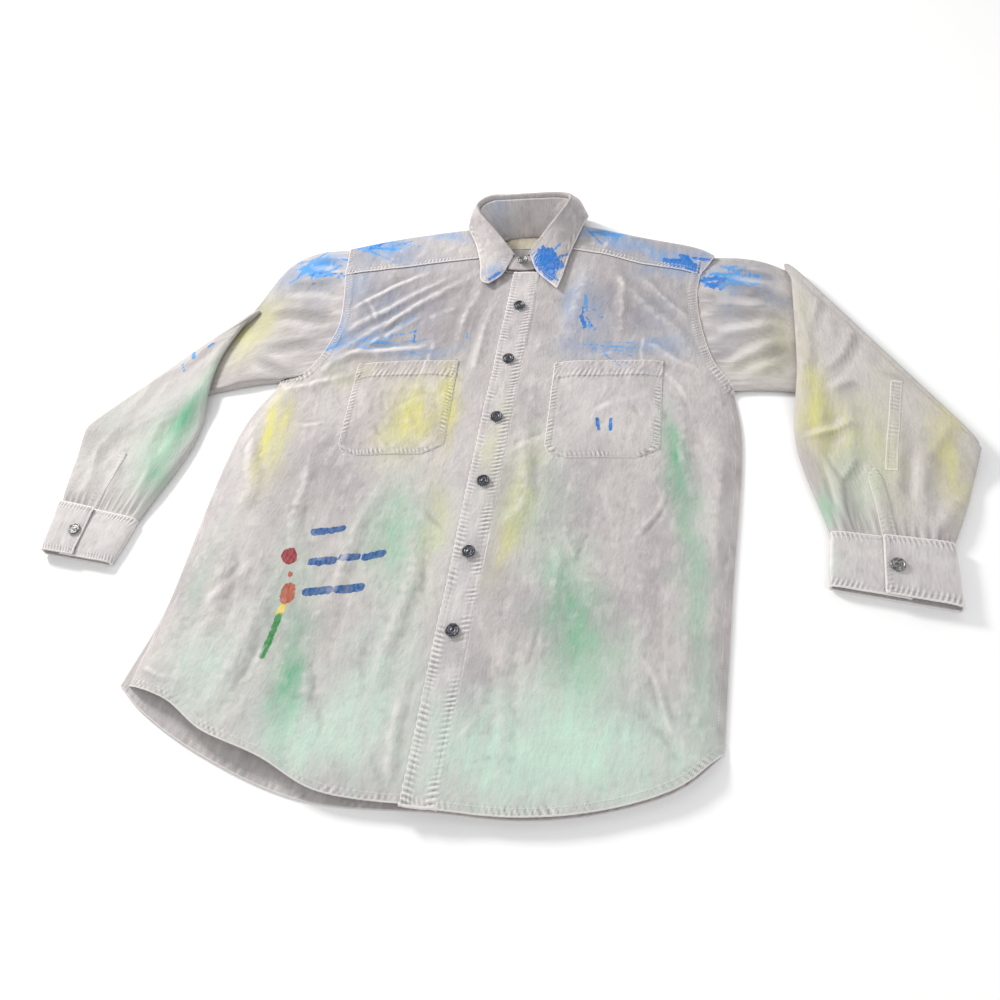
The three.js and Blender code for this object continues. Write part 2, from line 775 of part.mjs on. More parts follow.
// The strip that binds the slit above a cuff
function sleevePlacket(side) {
  const { inner, outer } = forearmEdges(side);
  const share = cuffButtonShare[side] - 0.04;
  const end = mix(inner(1), outer(1), share);
  const up = mix(inner(0.75), outer(0.75), share).sub(end).setZ(0).normalize();
  const sideways = new THREE.Vector3(up.y, -up.x, 0);
  const rows = steps(4).map((v) => {
    return [-0.5, 0.5].map((u) => {
      const point = end.clone().addScaledVector(up, 1 + v * sleevePlacketLength);
      point.addScaledVector(sideways, u * sleevePlacketWidth);
      point.z = forearmBase(side, point) + sleeveHeight + 2 * clearance;
      return point;
    });
  });
  return sheet(rows, facing);
}

// ---------------------------------------------------------------- buttons

// A hollow metal button head, captive on its tack's rivet, seated at height z
function buttonHead() {
  const bore = stemRadius + turnClearance;
  const room = rivetRadius + turnClearance;
  const crown = hubHeight + buttonThickness;
  const roomTop = hubHeight + turnClearance * 2 + rivetThickness + 0.3;
  const profile = [
    [0, roomTop], [room, roomTop], [room, hubHeight], [bore, hubHeight - 0.1], [bore, 0], [hubRadius, 0],
    [hubRadius, hubHeight], [buttonRadius, hubHeight + 0.6],
    [buttonRadius - 0.9, crown], [buttonRadius - 2.6, crown - 0.6], [0, crown - 0.3],
  ].map(([r, z]) => new THREE.Vector2(r, z));
  return new THREE.LatheGeometry(profile, 14).rotateX(Math.PI / 2);
}

// The tack behind the cloth: a disc, a stem of the given length and a rivet in the head
function buttonTack(stemLength) {
  const profile = [
    [0, -tackThickness], [tackRadius, -tackThickness], [tackRadius, 0], [stemRadius, 0],
    [stemRadius, stemLength], [rivetRadius, stemLength + 0.2],
    [rivetRadius, stemLength + rivetThickness], [0, stemLength + rivetThickness],
  ].map(([r, z]) => new THREE.Vector2(r, z));
  return new THREE.LatheGeometry(profile, 10).rotateX(Math.PI / 2);
}

// ---------------------------------------------------------------- materials

const cloth = new THREE.MeshStandardMaterial({ color: clothColour, roughness: 0.92, metalness: 0 });
const lining = new THREE.MeshStandardMaterial({ color: liningColour, roughness: 0.94, metalness: 0 });
const tape = new THREE.MeshStandardMaterial({ color: labelColour, roughness: 0.9, metalness: 0 });
const gunmetal = new THREE.MeshStandardMaterial({ color: gunmetalColour, roughness: 0.4, metalness: 0.9 });
const pewter = new THREE.MeshStandardMaterial({ color: pewterColour, roughness: 0.42, metalness: 0.9 });

// ---------------------------------------------------------------- assembly

const shirt = new THREE.Group();

function addPiece(name, geometry, material) {
  const mesh = new THREE.Mesh(geometry, material);
  mesh.name = name;
  shirt.add(mesh);
  return mesh;
}

// A head and its tack, through cloth that lies between two heights
function addButton(name, place, underside, topside, material) {
  const head = addPiece(`${name}_head`, buttonHead(), material);
  head.position.set(place.x, place.y, topside + clearance);
  const stem = topside + clearance + hubHeight + turnClearance - (underside - clearance);
  const tack = addPiece(`${name}_tack`, buttonTack(stem), material);
  tack.position.set(place.x, place.y, underside - clearance);
}

addPiece("back_panel", sheet(backPanel(), ply), cloth);
addPiece("yoke_outer", yokeLayer(0, ply), cloth);
addPiece("yoke_lining", yokeLayer(ply + clearance, facing), lining);
addPiece("left_front", sheet(frontPanel("left"), ply), cloth);

const rightRows = frontPanel("right");
addPiece("right_front", cut(sheet(rightRows, ply), frontButtons.map(stemHole)), cloth);

const bandUnderside = bodyLoft - clearance - facing;
const buttonBand = strip(buttonBandWidth - 4, placketBottom + 4, bandUnderside, facing);
addPiece("button_band", cut(buttonBand, frontButtons.map(stemHole)), lining);

const placketPlies = [
  ["placket_facing", facing, lining],
  ["placket_interlining", interlining, lining],
  ["placket_outer", ply, cloth],
];
let placketHeight = bodyLoft + ply + clearance;
for (const [name, thickness, material] of placketPlies) {
  const plyBody = strip(placketWidth, placketBottom, placketHeight, thickness);
  addPiece(name, cut(plyBody, frontButtons.map(buttonhole)), material);
  placketHeight += thickness + clearance;
}
const placketSurface = placketHeight - clearance;

addPiece("left_pocket", pocket(leftPocketX, leftPocketTopY, leftPocketTurn), cloth);
addPiece("right_pocket", pocket(rightPocketX, rightPocketTopY, rightPocketTurn), cloth);

const collarButton = { x: neckCentreX + 3, y: neckAt(-Math.PI / 2).y + 11 };
const collarButtonUnderside = 9;
const collarButtonSeat = 22;
const bandRows = bandGrid();
const bandPlies = [
  ["collar_band_lining", -1.9, -0.8, lining],
  ["collar_band_interlining", -0.4, 0.4, lining],
  ["collar_band_outer", 0.8, 1.9, cloth],
];
for (const [name, from, to, material] of bandPlies) {
  const body = between(offsetGrid(bandRows, from), offsetGrid(bandRows, to));
  addPiece(name, cut(body, [stemHole(collarButton)]), material);
}

const leafPlies = [["under", 0.2, 1.2, lining], ["upper", 1.6, 2.6, cloth]];
for (const [name, from, to, material] of leafPlies) {
  const rows = backLeafGrid();
  addPiece(`collar_back_${name}`, between(offsetGrid(rows, from), offsetGrid(rows, to)), material);
  for (const side of ["left", "right"]) {
    const wing = wingGrid(side);
    const upwards = side === "left" ? -1 : 1;
    const body = between(offsetGrid(wing, upwards * from), offsetGrid(wing, upwards * to));
    addPiece(`${side}_collar_wing_${name}`, body, material);
  }
}

const label = new THREE.BoxGeometry(labelWidth, labelHeight, labelThickness);
const labelHeightZ = ply + clearance + facing + clearance + labelThickness / 2;
addPiece("neck_label", label, tape).position.set(neckCentreX - 6, neckAt(Math.PI / 2).y - 11, labelHeightZ);

for (const side of ["left", "right"]) {
  addPiece(`${side}_sleeve_upper`, upperSleeve(side), cloth);
  addPiece(`${side}_sleeve_forearm`, forearmTube(side), cloth);
  addPiece(`${side}_sleeve_placket`, sleevePlacket(side), cloth);
  const place = cuffButtonPlace(side);
  const hole = [stemHole(place)];
  addPiece(`${side}_cuff_outer`, cut(cuffLayer(side, 0, cuffPly), hole), cloth);
  addPiece(`${side}_cuff_lining`, cut(cuffLayer(side, cuffPly + clearance, cuffPly), hole), lining);
  addButton(`${side}_cuff_button`, place, cuffHeight - cuffWall, cuffHeight + cuffWall + clearance, pewter);
}

frontButtons.forEach((place, i) => {
  addButton(`front_button_${i + 1}`, place, bandUnderside, placketSurface, gunmetal);
});
addButton("collar_button", collarButton, collarButtonUnderside, collarButtonSeat, pewter);

// The origin is on the floor, under the middle of the shirt
const box = new THREE.Box3().setFromObject(shirt);
const middle = box.getCenter(new THREE.Vector3());
shirt.position.set(-middle.x, -middle.y, -box.min.z);

export default shirt;
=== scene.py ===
"""The looks of a washed cotton work shirt that lies on its back, both sleeves folded at the elbow.

Every place is given in plan millimetres: x from the middle of the front to the wearer's left,
y from hem to collar, z up from the floor. to_row() turns them into the frame's metres.
"""

import json
import math

import bpy
import numpy as np
from mathutils import Matrix, Vector
from mathutils.bvhtree import BVHTree

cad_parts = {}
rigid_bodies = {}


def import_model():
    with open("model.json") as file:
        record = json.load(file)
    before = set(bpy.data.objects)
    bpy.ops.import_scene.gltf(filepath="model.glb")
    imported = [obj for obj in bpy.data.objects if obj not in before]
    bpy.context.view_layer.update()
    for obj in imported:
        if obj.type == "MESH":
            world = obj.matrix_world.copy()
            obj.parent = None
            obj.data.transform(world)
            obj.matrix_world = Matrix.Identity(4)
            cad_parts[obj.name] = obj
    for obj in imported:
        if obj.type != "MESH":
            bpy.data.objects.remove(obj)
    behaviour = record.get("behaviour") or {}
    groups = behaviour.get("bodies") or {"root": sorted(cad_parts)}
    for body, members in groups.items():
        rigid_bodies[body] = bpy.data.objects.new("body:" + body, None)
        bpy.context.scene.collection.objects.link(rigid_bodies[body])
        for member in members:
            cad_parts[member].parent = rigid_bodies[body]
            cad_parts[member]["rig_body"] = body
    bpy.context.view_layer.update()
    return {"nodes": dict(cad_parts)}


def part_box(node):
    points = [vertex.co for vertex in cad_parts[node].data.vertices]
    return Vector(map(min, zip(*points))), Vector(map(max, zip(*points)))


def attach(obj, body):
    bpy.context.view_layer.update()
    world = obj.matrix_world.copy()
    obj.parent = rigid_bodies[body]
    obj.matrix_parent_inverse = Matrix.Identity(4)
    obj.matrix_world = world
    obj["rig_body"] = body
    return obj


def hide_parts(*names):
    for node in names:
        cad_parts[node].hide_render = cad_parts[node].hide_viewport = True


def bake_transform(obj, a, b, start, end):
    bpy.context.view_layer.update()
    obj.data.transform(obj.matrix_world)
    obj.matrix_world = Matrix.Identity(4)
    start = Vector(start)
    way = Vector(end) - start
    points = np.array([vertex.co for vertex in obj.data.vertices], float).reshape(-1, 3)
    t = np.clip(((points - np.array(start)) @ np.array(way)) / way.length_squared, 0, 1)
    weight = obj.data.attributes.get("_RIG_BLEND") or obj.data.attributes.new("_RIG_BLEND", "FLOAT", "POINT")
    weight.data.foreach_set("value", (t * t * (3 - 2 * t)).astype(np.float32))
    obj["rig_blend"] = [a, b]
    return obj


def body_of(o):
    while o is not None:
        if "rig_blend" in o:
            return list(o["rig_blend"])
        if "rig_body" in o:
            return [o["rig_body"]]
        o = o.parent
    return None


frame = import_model()

MM = 0.001
FIRST_BUTTON = (1.4, 241.0)
button_low, button_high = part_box("front_button_1_head")
row_shift = np.array([
    (button_low.x + button_high.x) / 2 - FIRST_BUTTON[0] * MM,
    (button_low.y + button_high.y) / 2 - FIRST_BUTTON[1] * MM,
    0.0,
])


def to_row(points):
    """Plan millimetres to the frame's metres."""
    return np.asarray(points, float) * MM + row_shift


# ---------------------------------------------------------------- camera, floor and light

CAMERA_PLACE = (247.4, -638.0, 839.7)
CAMERA_PITCH, CAMERA_YAW, CAMERA_ROLL = 53.4, -21.36, 15.18
CAMERA_LENS = 33.0


def make_camera():
    pitch, yaw, roll = (math.radians(a) for a in (CAMERA_PITCH, CAMERA_YAW, CAMERA_ROLL))
    forward = Vector((math.sin(yaw) * math.cos(pitch), math.cos(yaw) * math.cos(pitch), -math.sin(pitch)))
    level = Vector((math.cos(yaw), -math.sin(yaw), 0))
    down = forward.cross(level)
    right = math.cos(roll) * level + math.sin(roll) * down
    up = math.sin(roll) * level - math.cos(roll) * down
    turn = Matrix((right, up, -forward)).transposed().to_4x4()
    camera = bpy.data.objects.new("camera", bpy.data.cameras.new("camera"))
    camera.data.lens = CAMERA_LENS
    camera.data.clip_start, camera.data.clip_end = 0.05, 20
    camera.matrix_world = Matrix.Translation(Vector(to_row(CAMERA_PLACE))) @ turn
    bpy.context.scene.collection.objects.link(camera)
    bpy.context.scene.camera = camera


def area_light(name, place, target, size, power, colour):
    light = bpy.data.lights.new(name, "AREA")
    light.shape, light.size, light.energy, light.color = "DISK", size, power, colour
    holder = bpy.data.objects.new(name, light)
    holder.location = place
    holder.rotation_mode = "QUATERNION"
    holder.rotation_quaternion = (Vector(target) - Vector(place)).to_track_quat("-Z", "Y")
    bpy.context.scene.collection.objects.link(holder)


def make_studio():
    bpy.context.scene.view_settings.view_transform = "Standard"
    world = bpy.data.worlds.new("studio")
    bpy.context.scene.world = world
    world.use_nodes = True
    background = world.node_tree.nodes["Background"]
    background.inputs["Color"].default_value = (1.0, 1.0, 1.0, 1)
    background.inputs["Strength"].default_value = 0.72
    area_light("key", (-1.35, 0.95, 1.05), (0, 0, 0), 0.5, 34, (1.0, 0.985, 0.96))
    area_light("fill", (1.4, -1.2, 1.7), (0, 0, 0), 1.6, 9, (0.95, 0.98, 1.0))
    floor_mesh = bpy.data.meshes.new("floor")
    half, drop = 6.0, -0.0006
    corners = [(-half, -half, drop), (half, -half, drop), (half, half, drop), (-half, half, drop)]
    floor_mesh.from_pydata(corners, [], [(0, 1, 2, 3)])
    floor = bpy.data.objects.new("floor", floor_mesh)
    bpy.context.scene.collection.objects.link(floor)
    pale = bpy.data.materials.new("floor")
    pale.use_nodes = True
    shader = pale.node_tree.nodes["Principled BSDF"]
    shader.inputs["Base Color"].default_value = (0.93, 0.93, 0.93, 1)
    shader.inputs["Roughness"].default_value = 0.9
    floor_mesh.materials.append(pale)


make_camera()
make_studio()

# ---------------------------------------------------------------- curves and grids


def curve(points):
    """The smooth line through points, as a function of the share of its length."""
    p = np.array(points, float)
    gaps = np.sqrt(np.linalg.norm(np.diff(p, axis=0), axis=1))
    knots = np.concatenate([[0], np.cumsum(gaps)])
    p = np.vstack([2 * p[0] - p[1], p, 2 * p[-1] - p[-2]])
    k = np.concatenate([[-gaps[0]], knots, [knots[-1] + gaps[-1]]])
    samples = []
    for i in range(1, len(p) - 2):
        t = np.linspace(k[i], k[i + 1], 24, endpoint=i == len(p) - 3)[:, None]

        def between(a, b, ta, tb, t=t):
            return (a * (tb - t) + b * (t - ta)) / (tb - ta)

        first = between(p[i - 1], p[i], k[i - 1], k[i])
        middle = between(p[i], p[i + 1], k[i], k[i + 1])
        last = between(p[i + 1], p[i + 2], k[i + 1], k[i + 2])
        samples.append(between(between(first, middle, k[i - 1], k[i + 1]),
                               between(middle, last, k[i], k[i + 2]), k[i], k[i + 1]))
    line = np.vstack(samples)
    run = np.concatenate([[0], np.cumsum(np.linalg.norm(np.diff(line, axis=0), axis=1))])
    run /= run[-1]
    return lambda t: np.stack([np.interp(t, run, line[:, a]) for a in range(line.shape[1])], -1)


def chain(parts, shares):
    """Curves joined end to end, each taking its own share of t."""
    starts = np.concatenate([[0], np.cumsum(shares)])

    def at(t):
        t = np.atleast_1d(np.asarray(t, float))
        out = None
        for part, start, share in zip(parts, starts, shares):
            here = part(np.clip((t - start) / share, 0, 1))
            out = here if out is None else np.where((t > start)[:, None], here, out)
        return out

    return at


def coons(bottom, top, inner, outer, us, vs):
    """A four-sided patch between its boundary curves: rows of points along v."""
    u, v = us[None, :, None], vs[:, None, None]
    ends = np.array([0.0, 1.0])
    (c00, c10), (c01, c11) = bottom(ends), top(ends)
    lofted = (1 - v) * bottom(us)[None] + v * top(us)[None]
    lofted = lofted + (1 - u) * inner(vs)[:, None] + u * outer(vs)[:, None]
    return lofted - ((1 - u) * (1 - v) * c00 + u * (1 - v) * c10 + (1 - u) * v * c01 + u * v * c11)


def spread(length, step, fine=0.8, margin=12.0):
    """Shares of a length at about step apart, and closer near both ends."""
    count = max(int(length / step), 4)
    even = np.linspace(0, 1, count + 1)
    near = np.arange(0, margin, fine)[: max(int(margin / fine), 1)] / length
    inside = even[(even > near[-1] + step / 2 / length) & (even < 1 - near[-1] - step / 2 / length)]
    return np.concatenate([near, inside, 1 - near[::-1]])


def smooth(t):
    t = np.clip(t, 0, 1)
    return t * t * (3 - 2 * t)


def normals(grid):
    """Unit normals of a grid of points."""
    along_row = np.gradient(grid, axis=1)
    up_rows = np.gradient(grid, axis=0)
    n = np.cross(along_row, up_rows)
    return n / np.maximum(np.linalg.norm(n, axis=-1, keepdims=True), 1e-9)


def nearest(points, line):
    """Distance to a polyline in plan, the run along it, and the side (+1 left of its direction)."""
    points = np.asarray(points, float)
    flat = points.reshape(-1, points.shape[-1])[:, :2]
    line = np.asarray(line, float)[:, :2]
    lengths = np.linalg.norm(np.diff(line, axis=0), axis=1)
    starts = np.concatenate([[0], np.cumsum(lengths)])
    best = np.full(len(flat), 1e9)
    run = np.zeros(len(flat))
    side = np.ones(len(flat))
    for a, b, length, start in zip(line[:-1], line[1:], lengths, starts):
        if length < 1e-9:
            continue
        way = (b - a) / length
        off = flat - a
        t = np.clip(off @ way, 0, length)
        gap = off - t[:, None] * way
        d = np.hypot(gap[:, 0], gap[:, 1])
        closer = d < best
        best = np.where(closer, d, best)
        run = np.where(closer, start + t, run)
        side = np.where(closer, np.sign(way[0] * off[:, 1] - way[1] * off[:, 0] + 1e-12), side)
    shape = points.shape[:-1]
    return best.reshape(shape), run.reshape(shape), side.reshape(shape)


# ---------------------------------------------------------------- cloth relief

LATTICE = 61


def noise(x, y, size, seed):
    """Smooth noise from -1 to 1 with features of about that size."""
    table = np.random.default_rng(seed).uniform(-1, 1, (LATTICE, LATTICE))
    u, v = np.asarray(x) / size + 1000.0, np.asarray(y) / size + 1000.0
    i, j = np.floor(u).astype(int), np.floor(v).astype(int)
    a, b = smooth(u - i), smooth(v - j)
    i0, j0, i1, j1 = i % LATTICE, j % LATTICE, (i + 1) % LATTICE, (j + 1) % LATTICE
    low = table[i0, j0] * (1 - a) + table[i1, j0] * a
    high = table[i0, j1] * (1 - a) + table[i1, j1] * a
    return low * (1 - b) + high * b


def crease(x, y, x0, y0, x1, y1, width, height):
    """A soft fold along a straight run: steep on one side, fading at both ends."""
    length = math.hypot(x1 - x0, y1 - y0)
    wx, wy = (x1 - x0) / length, (y1 - y0) / length
    along = ((x - x0) * wx + (y - y0) * wy) / length
    off = ((y - y0) * wx - (x - x0) * wy) / width
    taper = np.where((along > 0) & (along < 1), np.sin(np.pi * np.clip(along, 0, 1)) ** 0.8, 0)
    ridge = np.exp(-off**2) - 0.55 * np.exp(-(off - 1.5) ** 2)
    return height * taper * ridge


def folds(x, y, listed):
    """The listed folds, bent a little by noise so that none is straight."""
    bx = x + 7 * noise(x, y, 55, 901)
    by = y + 7 * noise(x, y, 55, 902)
    return 1.3 * sum(crease(bx, by, *fold) for fold in listed)


def crumple(x, y, seed, amount=1.0, lean=90.0, count=130, box=(-340, 290, -410, 420)):
    """Washed cotton's small creases and slubs, mostly along one lean in degrees."""
    pick = np.random.default_rng(seed)
    height = np.zeros_like(x)
    bx, by = x + 5 * noise(x, y, 34, seed + 1), y + 5 * noise(x, y, 34, seed + 2)
    for _ in range(count):
        cx, cy = pick.uniform(box[0], box[1]), pick.uniform(box[2], box[3])
        angle = math.radians(pick.normal(lean, 34))
        half = pick.uniform(18, 60)
        dx, dy = half * math.cos(angle), half * math.sin(angle)
        run = cx - dx, cy - dy, cx + dx, cy + dy
        height += crease(bx, by, *run, pick.uniform(3, 11), pick.uniform(-1.0, 1.1))
    height += 0.30 * noise(x, y, 14, seed + 5) + 0.16 * noise(x, y, 6, seed + 6)
    height += 1.2 * noise(x, y, 95, seed + 7) + 0.9 * noise(x, 0.6 * y, 42, seed + 8)
    return 1.15 * amount * height


def pucker(distance, run, seed, pitch=8.5, reach=5.0, height=0.8, slant=0.35):
    """The roping of a washed seam: ridges across it that fade with distance."""
    phase = 3.1 * np.pi * (run + slant * distance) / pitch + 3.6 * noise(run, distance, 23, seed)
    strength = np.clip(0.6 + 0.6 * noise(run, 0 * run, 17, seed + 1), 0.1, 1)
    return 0.9 * height * strength * np.sin(phase) * np.exp(-((distance / reach) ** 2))


# ---------------------------------------------------------------- paint

ROYAL = (0.002, 0.155, 0.54)
INK = (0.008, 0.085, 0.27)
SKY = (0.07, 0.30, 0.68)
PALE_BLUE = (0.19, 0.28, 0.44)
SHADE = (0.03, 0.03, 0.035)
YELLOW = (0.68, 0.65, 0.12)
PALE_YELLOW = (0.62, 0.61, 0.26)
OLIVE = (0.25, 0.26, 0.09)
GREEN = (0.06, 0.35, 0.175)
PALE_GREEN = (0.30, 0.56, 0.38)
MINT = (0.52, 0.72, 0.60)
LILAC = (0.40, 0.36, 0.46)
GREY = (0.25, 0.23, 0.245)
# A pale tint: pale patches on the body and forearms, and painted highlight on the left upper sleeve.
PALE_AND_HIGHLIGHT = (0.60, 0.57, 0.555)
CRIMSON = (0.26, 0.012, 0.02)
RUST = (0.40, 0.075, 0.03)


def brushed(x0, y0, x1, y1, reach, count, radius, tint, seed):
    """The streaks of a loaded brush along a run, in the form of the splashes below."""
    pick = np.random.default_rng(seed)
    length = math.hypot(x1 - x0, y1 - y0)
    wx, wy = (x1 - x0) / length, (y1 - y0) / length
    strokes = []
    for _ in range(count):
        off, start = pick.normal(0, reach / 2), pick.uniform(0, 0.55) * length
        end, turn = start + pick.uniform(0.2, 0.55) * length, pick.normal(0, 0.16)
        strokes.append((x0 + wx * start - wy * off, y0 + wy * start + wx * off,
                        x0 + wx * end - wy * (off + turn * length), y0 + wy * end + wx * (off + turn * length),
                        pick.uniform(0.5, 1) * radius, tint))
    return strokes


# Soft washes: x, y, half width, half height, turn in degrees, colour, strength
BODY_WASH = [
    (-170, 235, 120, 95, 0, GREY, 0.75), (160, 250, 110, 95, 0, GREY, 0.62),
    (-60, 230, 34, 110, 6, GREY, 0.35), (-250, 360, 90, 40, 0, GREY, 0.5),
    (170, 360, 110, 40, 0, GREY, 0.45), (-215, -60, 70, 90, 0, GREY, 0.4),
    (-290, -90, 26, 130, 4, PALE_AND_HIGHLIGHT, 0.7), (-34, -60, 14, 150, 4, PALE_AND_HIGHLIGHT, 0.6),
    (150, -395, 120, 16, 0, PALE_AND_HIGHLIGHT, 0.6), (130, 60, 66, 66, 0, PALE_AND_HIGHLIGHT, 0.55),
    (250, -60, 16, 120, 0, PALE_AND_HIGHLIGHT, 0.5), (-150, -370, 120, 18, 6, PALE_AND_HIGHLIGHT, 0.5),
    (-108, 55, 26, 46, 8, YELLOW, 0.75), (-66, 75, 11, 52, 10, YELLOW, 0.8),
    (-133, 20, 20, 26, 0, PALE_YELLOW, 0.5), (-290, 30, 11, 62, 6, YELLOW, 0.85),
    (-268, 45, 8, 40, 4, YELLOW, 0.6), (-262, -20, 16, 40, 0, PALE_YELLOW, 0.4),
    (-48, -100, 12, 60, 6, PALE_YELLOW, 0.55), (44, -60, 16, 60, -4, PALE_YELLOW, 0.7),
    (33, -125, 10, 35, 0, YELLOW, 0.45), (6, 20, 12, 60, 0, PALE_YELLOW, 0.35),
    (-82, -120, 36, 66, 10, PALE_GREEN, 0.55), (-110, -105, 24, 40, 0, GREEN, 0.22),
    (-190, -205, 30, 70, 10, PALE_GREEN, 0.35), (-158, -315, 15, 62, 8, GREEN, 0.85),
    (-120, -355, 55, 38, 0, MINT, 0.8), (-252, -300, 45, 60, 0, MINT, 0.45),
    (-70, -300, 40, 80, 0, MINT, 0.5), (122, -215, 26, 66, 5, GREEN, 0.62),
    (140, -265, 34, 54, 0, PALE_GREEN, 0.6), (104, -150, 30, 50, 0, PALE_GREEN, 0.35),
    (60, -60, 40, 70, 0, PALE_GREEN, 0.25), (209, 14, 10, 52, 10, GREEN, 0.75),
    (226, -60, 13, 80, 8, GREEN, 0.5), (243, -190, 15, 110, 4, PALE_GREEN, 0.5),
    (150, -345, 110, 52, 0, MINT, 0.85), (60, -360, 60, 46, 0, MINT, 0.75),
    (140, 168, 60, 13, 0, PALE_BLUE, 0.8), (185, 172, 30, 16, 10, PALE_BLUE, 0.6),
    (100, 230, 18, 60, 8, PALE_BLUE, 0.5), (75, 240, 12, 60, 0, SKY, 0.25),
    (180, 230, 30, 40, 0, PALE_BLUE, 0.25), (-200, 176, 58, 12, -6, PALE_BLUE, 0.75),
    (-110, 168, 46, 11, 0, PALE_BLUE, 0.6), (-245, 200, 16, 50, 12, SKY, 0.35),
    (-180, 235, 46, 40, 0, PALE_BLUE, 0.4), (-240, 300, 28, 40, 20, PALE_BLUE, 0.5),
    (-195, 345, 60, 12, -10, PALE_BLUE, 0.55), (-130, 285, 40, 60, 0, LILAC, 0.12),
    (-40, -40, 30, 80, 0, LILAC, 0.14), (185, 310, 36, 16, -10, PALE_BLUE, 0.6),
    (95, 385, 40, 16, -20, SKY, 0.6), (150, 362, 40, 12, -10, PALE_BLUE, 0.45),
    (135, 92, 60, 50, 0, LILAC, 0.12), (-300, -200, 18, 60, 0, PALE_GREEN, 0.25),
    (-200, 120, 40, 20, 0, PALE_YELLOW, 0.3), (-218, 374, 44, 14, -14, SKY, 0.7),
    (-130, 392, 44, 12, -12, SKY, 0.4), (178, 346, 46, 14, -20, SKY, 0.55), (214, 322, 20, 16, 0, SKY, 0.6),
]
# Splashes with a crisp edge: x0, y0, x1, y1, radius, colour
BODY_SPLASH = [
    # the shade in the pockets' mouths
    (62, 146, 126, 145, 1.5, SHADE), (126, 145, 191, 149, 1.5, SHADE),
    (-195, 141, -131, 142, 1.5, SHADE), (-131, 142, -67, 148, 1.5, SHADE),
    (86, 262, 90, 240, 2.2, SKY), (84, 226, 91, 208, 3.0, ROYAL), (96, 214, 97, 206, 2.2, SKY),
    (122, 52, 125, 38, 2.4, ROYAL), (138, 52, 139, 37, 2.2, ROYAL), (-134, 200, -131, 180, 1.6, ROYAL),
    (-212, 352, -212, 340, 2.2, ROYAL), (-196, 347, -192, 338, 1.8, ROYAL), (-62, 196, -60, 186, 1.4, SKY),
    (-252, 200, -262, 180, 3, SKY), (-236, 176, -250, 168, 2.6, SKY),
    *brushed(-246, 178, -96, 168, 9, 12, 1.3, SKY, 341), *brushed(-262, 236, -252, 176, 9, 7, 1.6, SKY, 342),
    *brushed(82, 250, 92, 196, 6, 7, 1.4, ROYAL, 343), *brushed(74, 176, 210, 166, 7, 8, 1.1, SKY, 344),
    *brushed(-282, 350, -262, 300, 10, 8, 2.0, SKY, 345),
    # three short rows of plain brush strokes
    (-184, -121, -172, -119, 5.2, INK), (-166, -118, -152, -114, 4.4, INK),
    (-176, -160, -152, -156, 5.4, INK), (-142, -153, -126, -149, 4.6, INK),
    (-116, -149, -98, -143, 5.0, INK), (-172, -198, -146, -194, 5.2, INK),
    (-136, -192, -112, -187, 5.6, INK), (-206, -152, -204, -156, 9.0, CRIMSON),
    (-197, -176, -197, -178, 3.0, RUST), (-193, -196, -192, -206, 8.5, RUST),
    (-194, -226, -199, -276, 4.2, (0.02, 0.22, 0.05)), (-193, -218, -194, -226, 4.4, (0.75, 0.55, 0.05)),
]
YOKE_SPLASH = [
    (196, 326, 214, 322, 3.4, ROYAL), (212, 330, 220, 312, 6.5, ROYAL), (218, 318, 225, 304, 5.5, ROYAL),
    (206, 338, 214, 332, 3.0, ROYAL), *brushed(182, 326, 226, 318, 13, 12, 3.4, ROYAL, 301),
    *brushed(204, 340, 232, 306, 11, 10, 2.6, ROYAL, 302), *brushed(76, 398, 140, 372, 9, 9, 2.0, SKY, 303),
    *brushed(-258, 366, -160, 392, 12, 13, 2.0, SKY, 304),
    *brushed(-252, 372, -206, 384, 7, 8, 2.4, ROYAL, 305),
]
# On the upper sleeve, the dark band at y 252 and the dark patch at (328, 168) are painted shade, the pale bands
# at y 200 and y 128 painted highlight.
LEFT_SLEEVE_WASH = [
    (290, 220, 70, 90, 0, GREY, 0.35), (288, 252, 66, 9, 4, (0.15, 0.14, 0.145), 0.6),
    (290, 200, 44, 15, 6, PALE_AND_HIGHLIGHT, 0.6), (328, 168, 20, 12, 14, (0.16, 0.155, 0.13), 0.65),
    (292, 128, 44, 11, 4, PALE_AND_HIGHLIGHT, 0.85), (256, 168, 20, 12, 30, GREY, 0.5),
    (256, 292, 34, 14, -18, SKY, 0.75), (286, 300, 30, 16, -30, PALE_BLUE, 0.7),
    (318, 262, 26, 12, -30, PALE_BLUE, 0.55), (330, 190, 20, 40, 10, PALE_YELLOW, 0.28),
    (300, 140, 30, 20, 0, PALE_YELLOW, 0.30), (270, 230, 14, 50, 0, PALE_BLUE, 0.3),
]
LEFT_SLEEVE_SPLASH = [
    (236, 298, 262, 290, 3.6, ROYAL), (244, 306, 274, 302, 2.6, SKY), (258, 284, 288, 278, 2.8, SKY),
    (262, 318, 284, 306, 2.0, SKY), (240, 286, 250, 276, 3.2, ROYAL), (292, 286, 306, 268, 1.8, SKY),
    *brushed(230, 304, 312, 276, 22, 16, 2.0, SKY, 311), *brushed(230, 290, 286, 276, 14, 9, 1.8, ROYAL, 312),
]
RIGHT_SLEEVE_WASH = [
    (-310, 240, 70, 100, 0, GREY, 0.5), (-300, 335, 44, 16, 20, SKY, 0.75),
    (-338, 300, 22, 30, 30, PALE_BLUE, 0.5), (-286, 290, 18, 40, 0, PALE_BLUE, 0.35),
    (-386, 205, 24, 50, -24, OLIVE, 0.85), (-366, 180, 26, 40, -20, PALE_YELLOW, 0.6),
    (-350, 235, 24, 40, 0, PALE_YELLOW, 0.3),
]
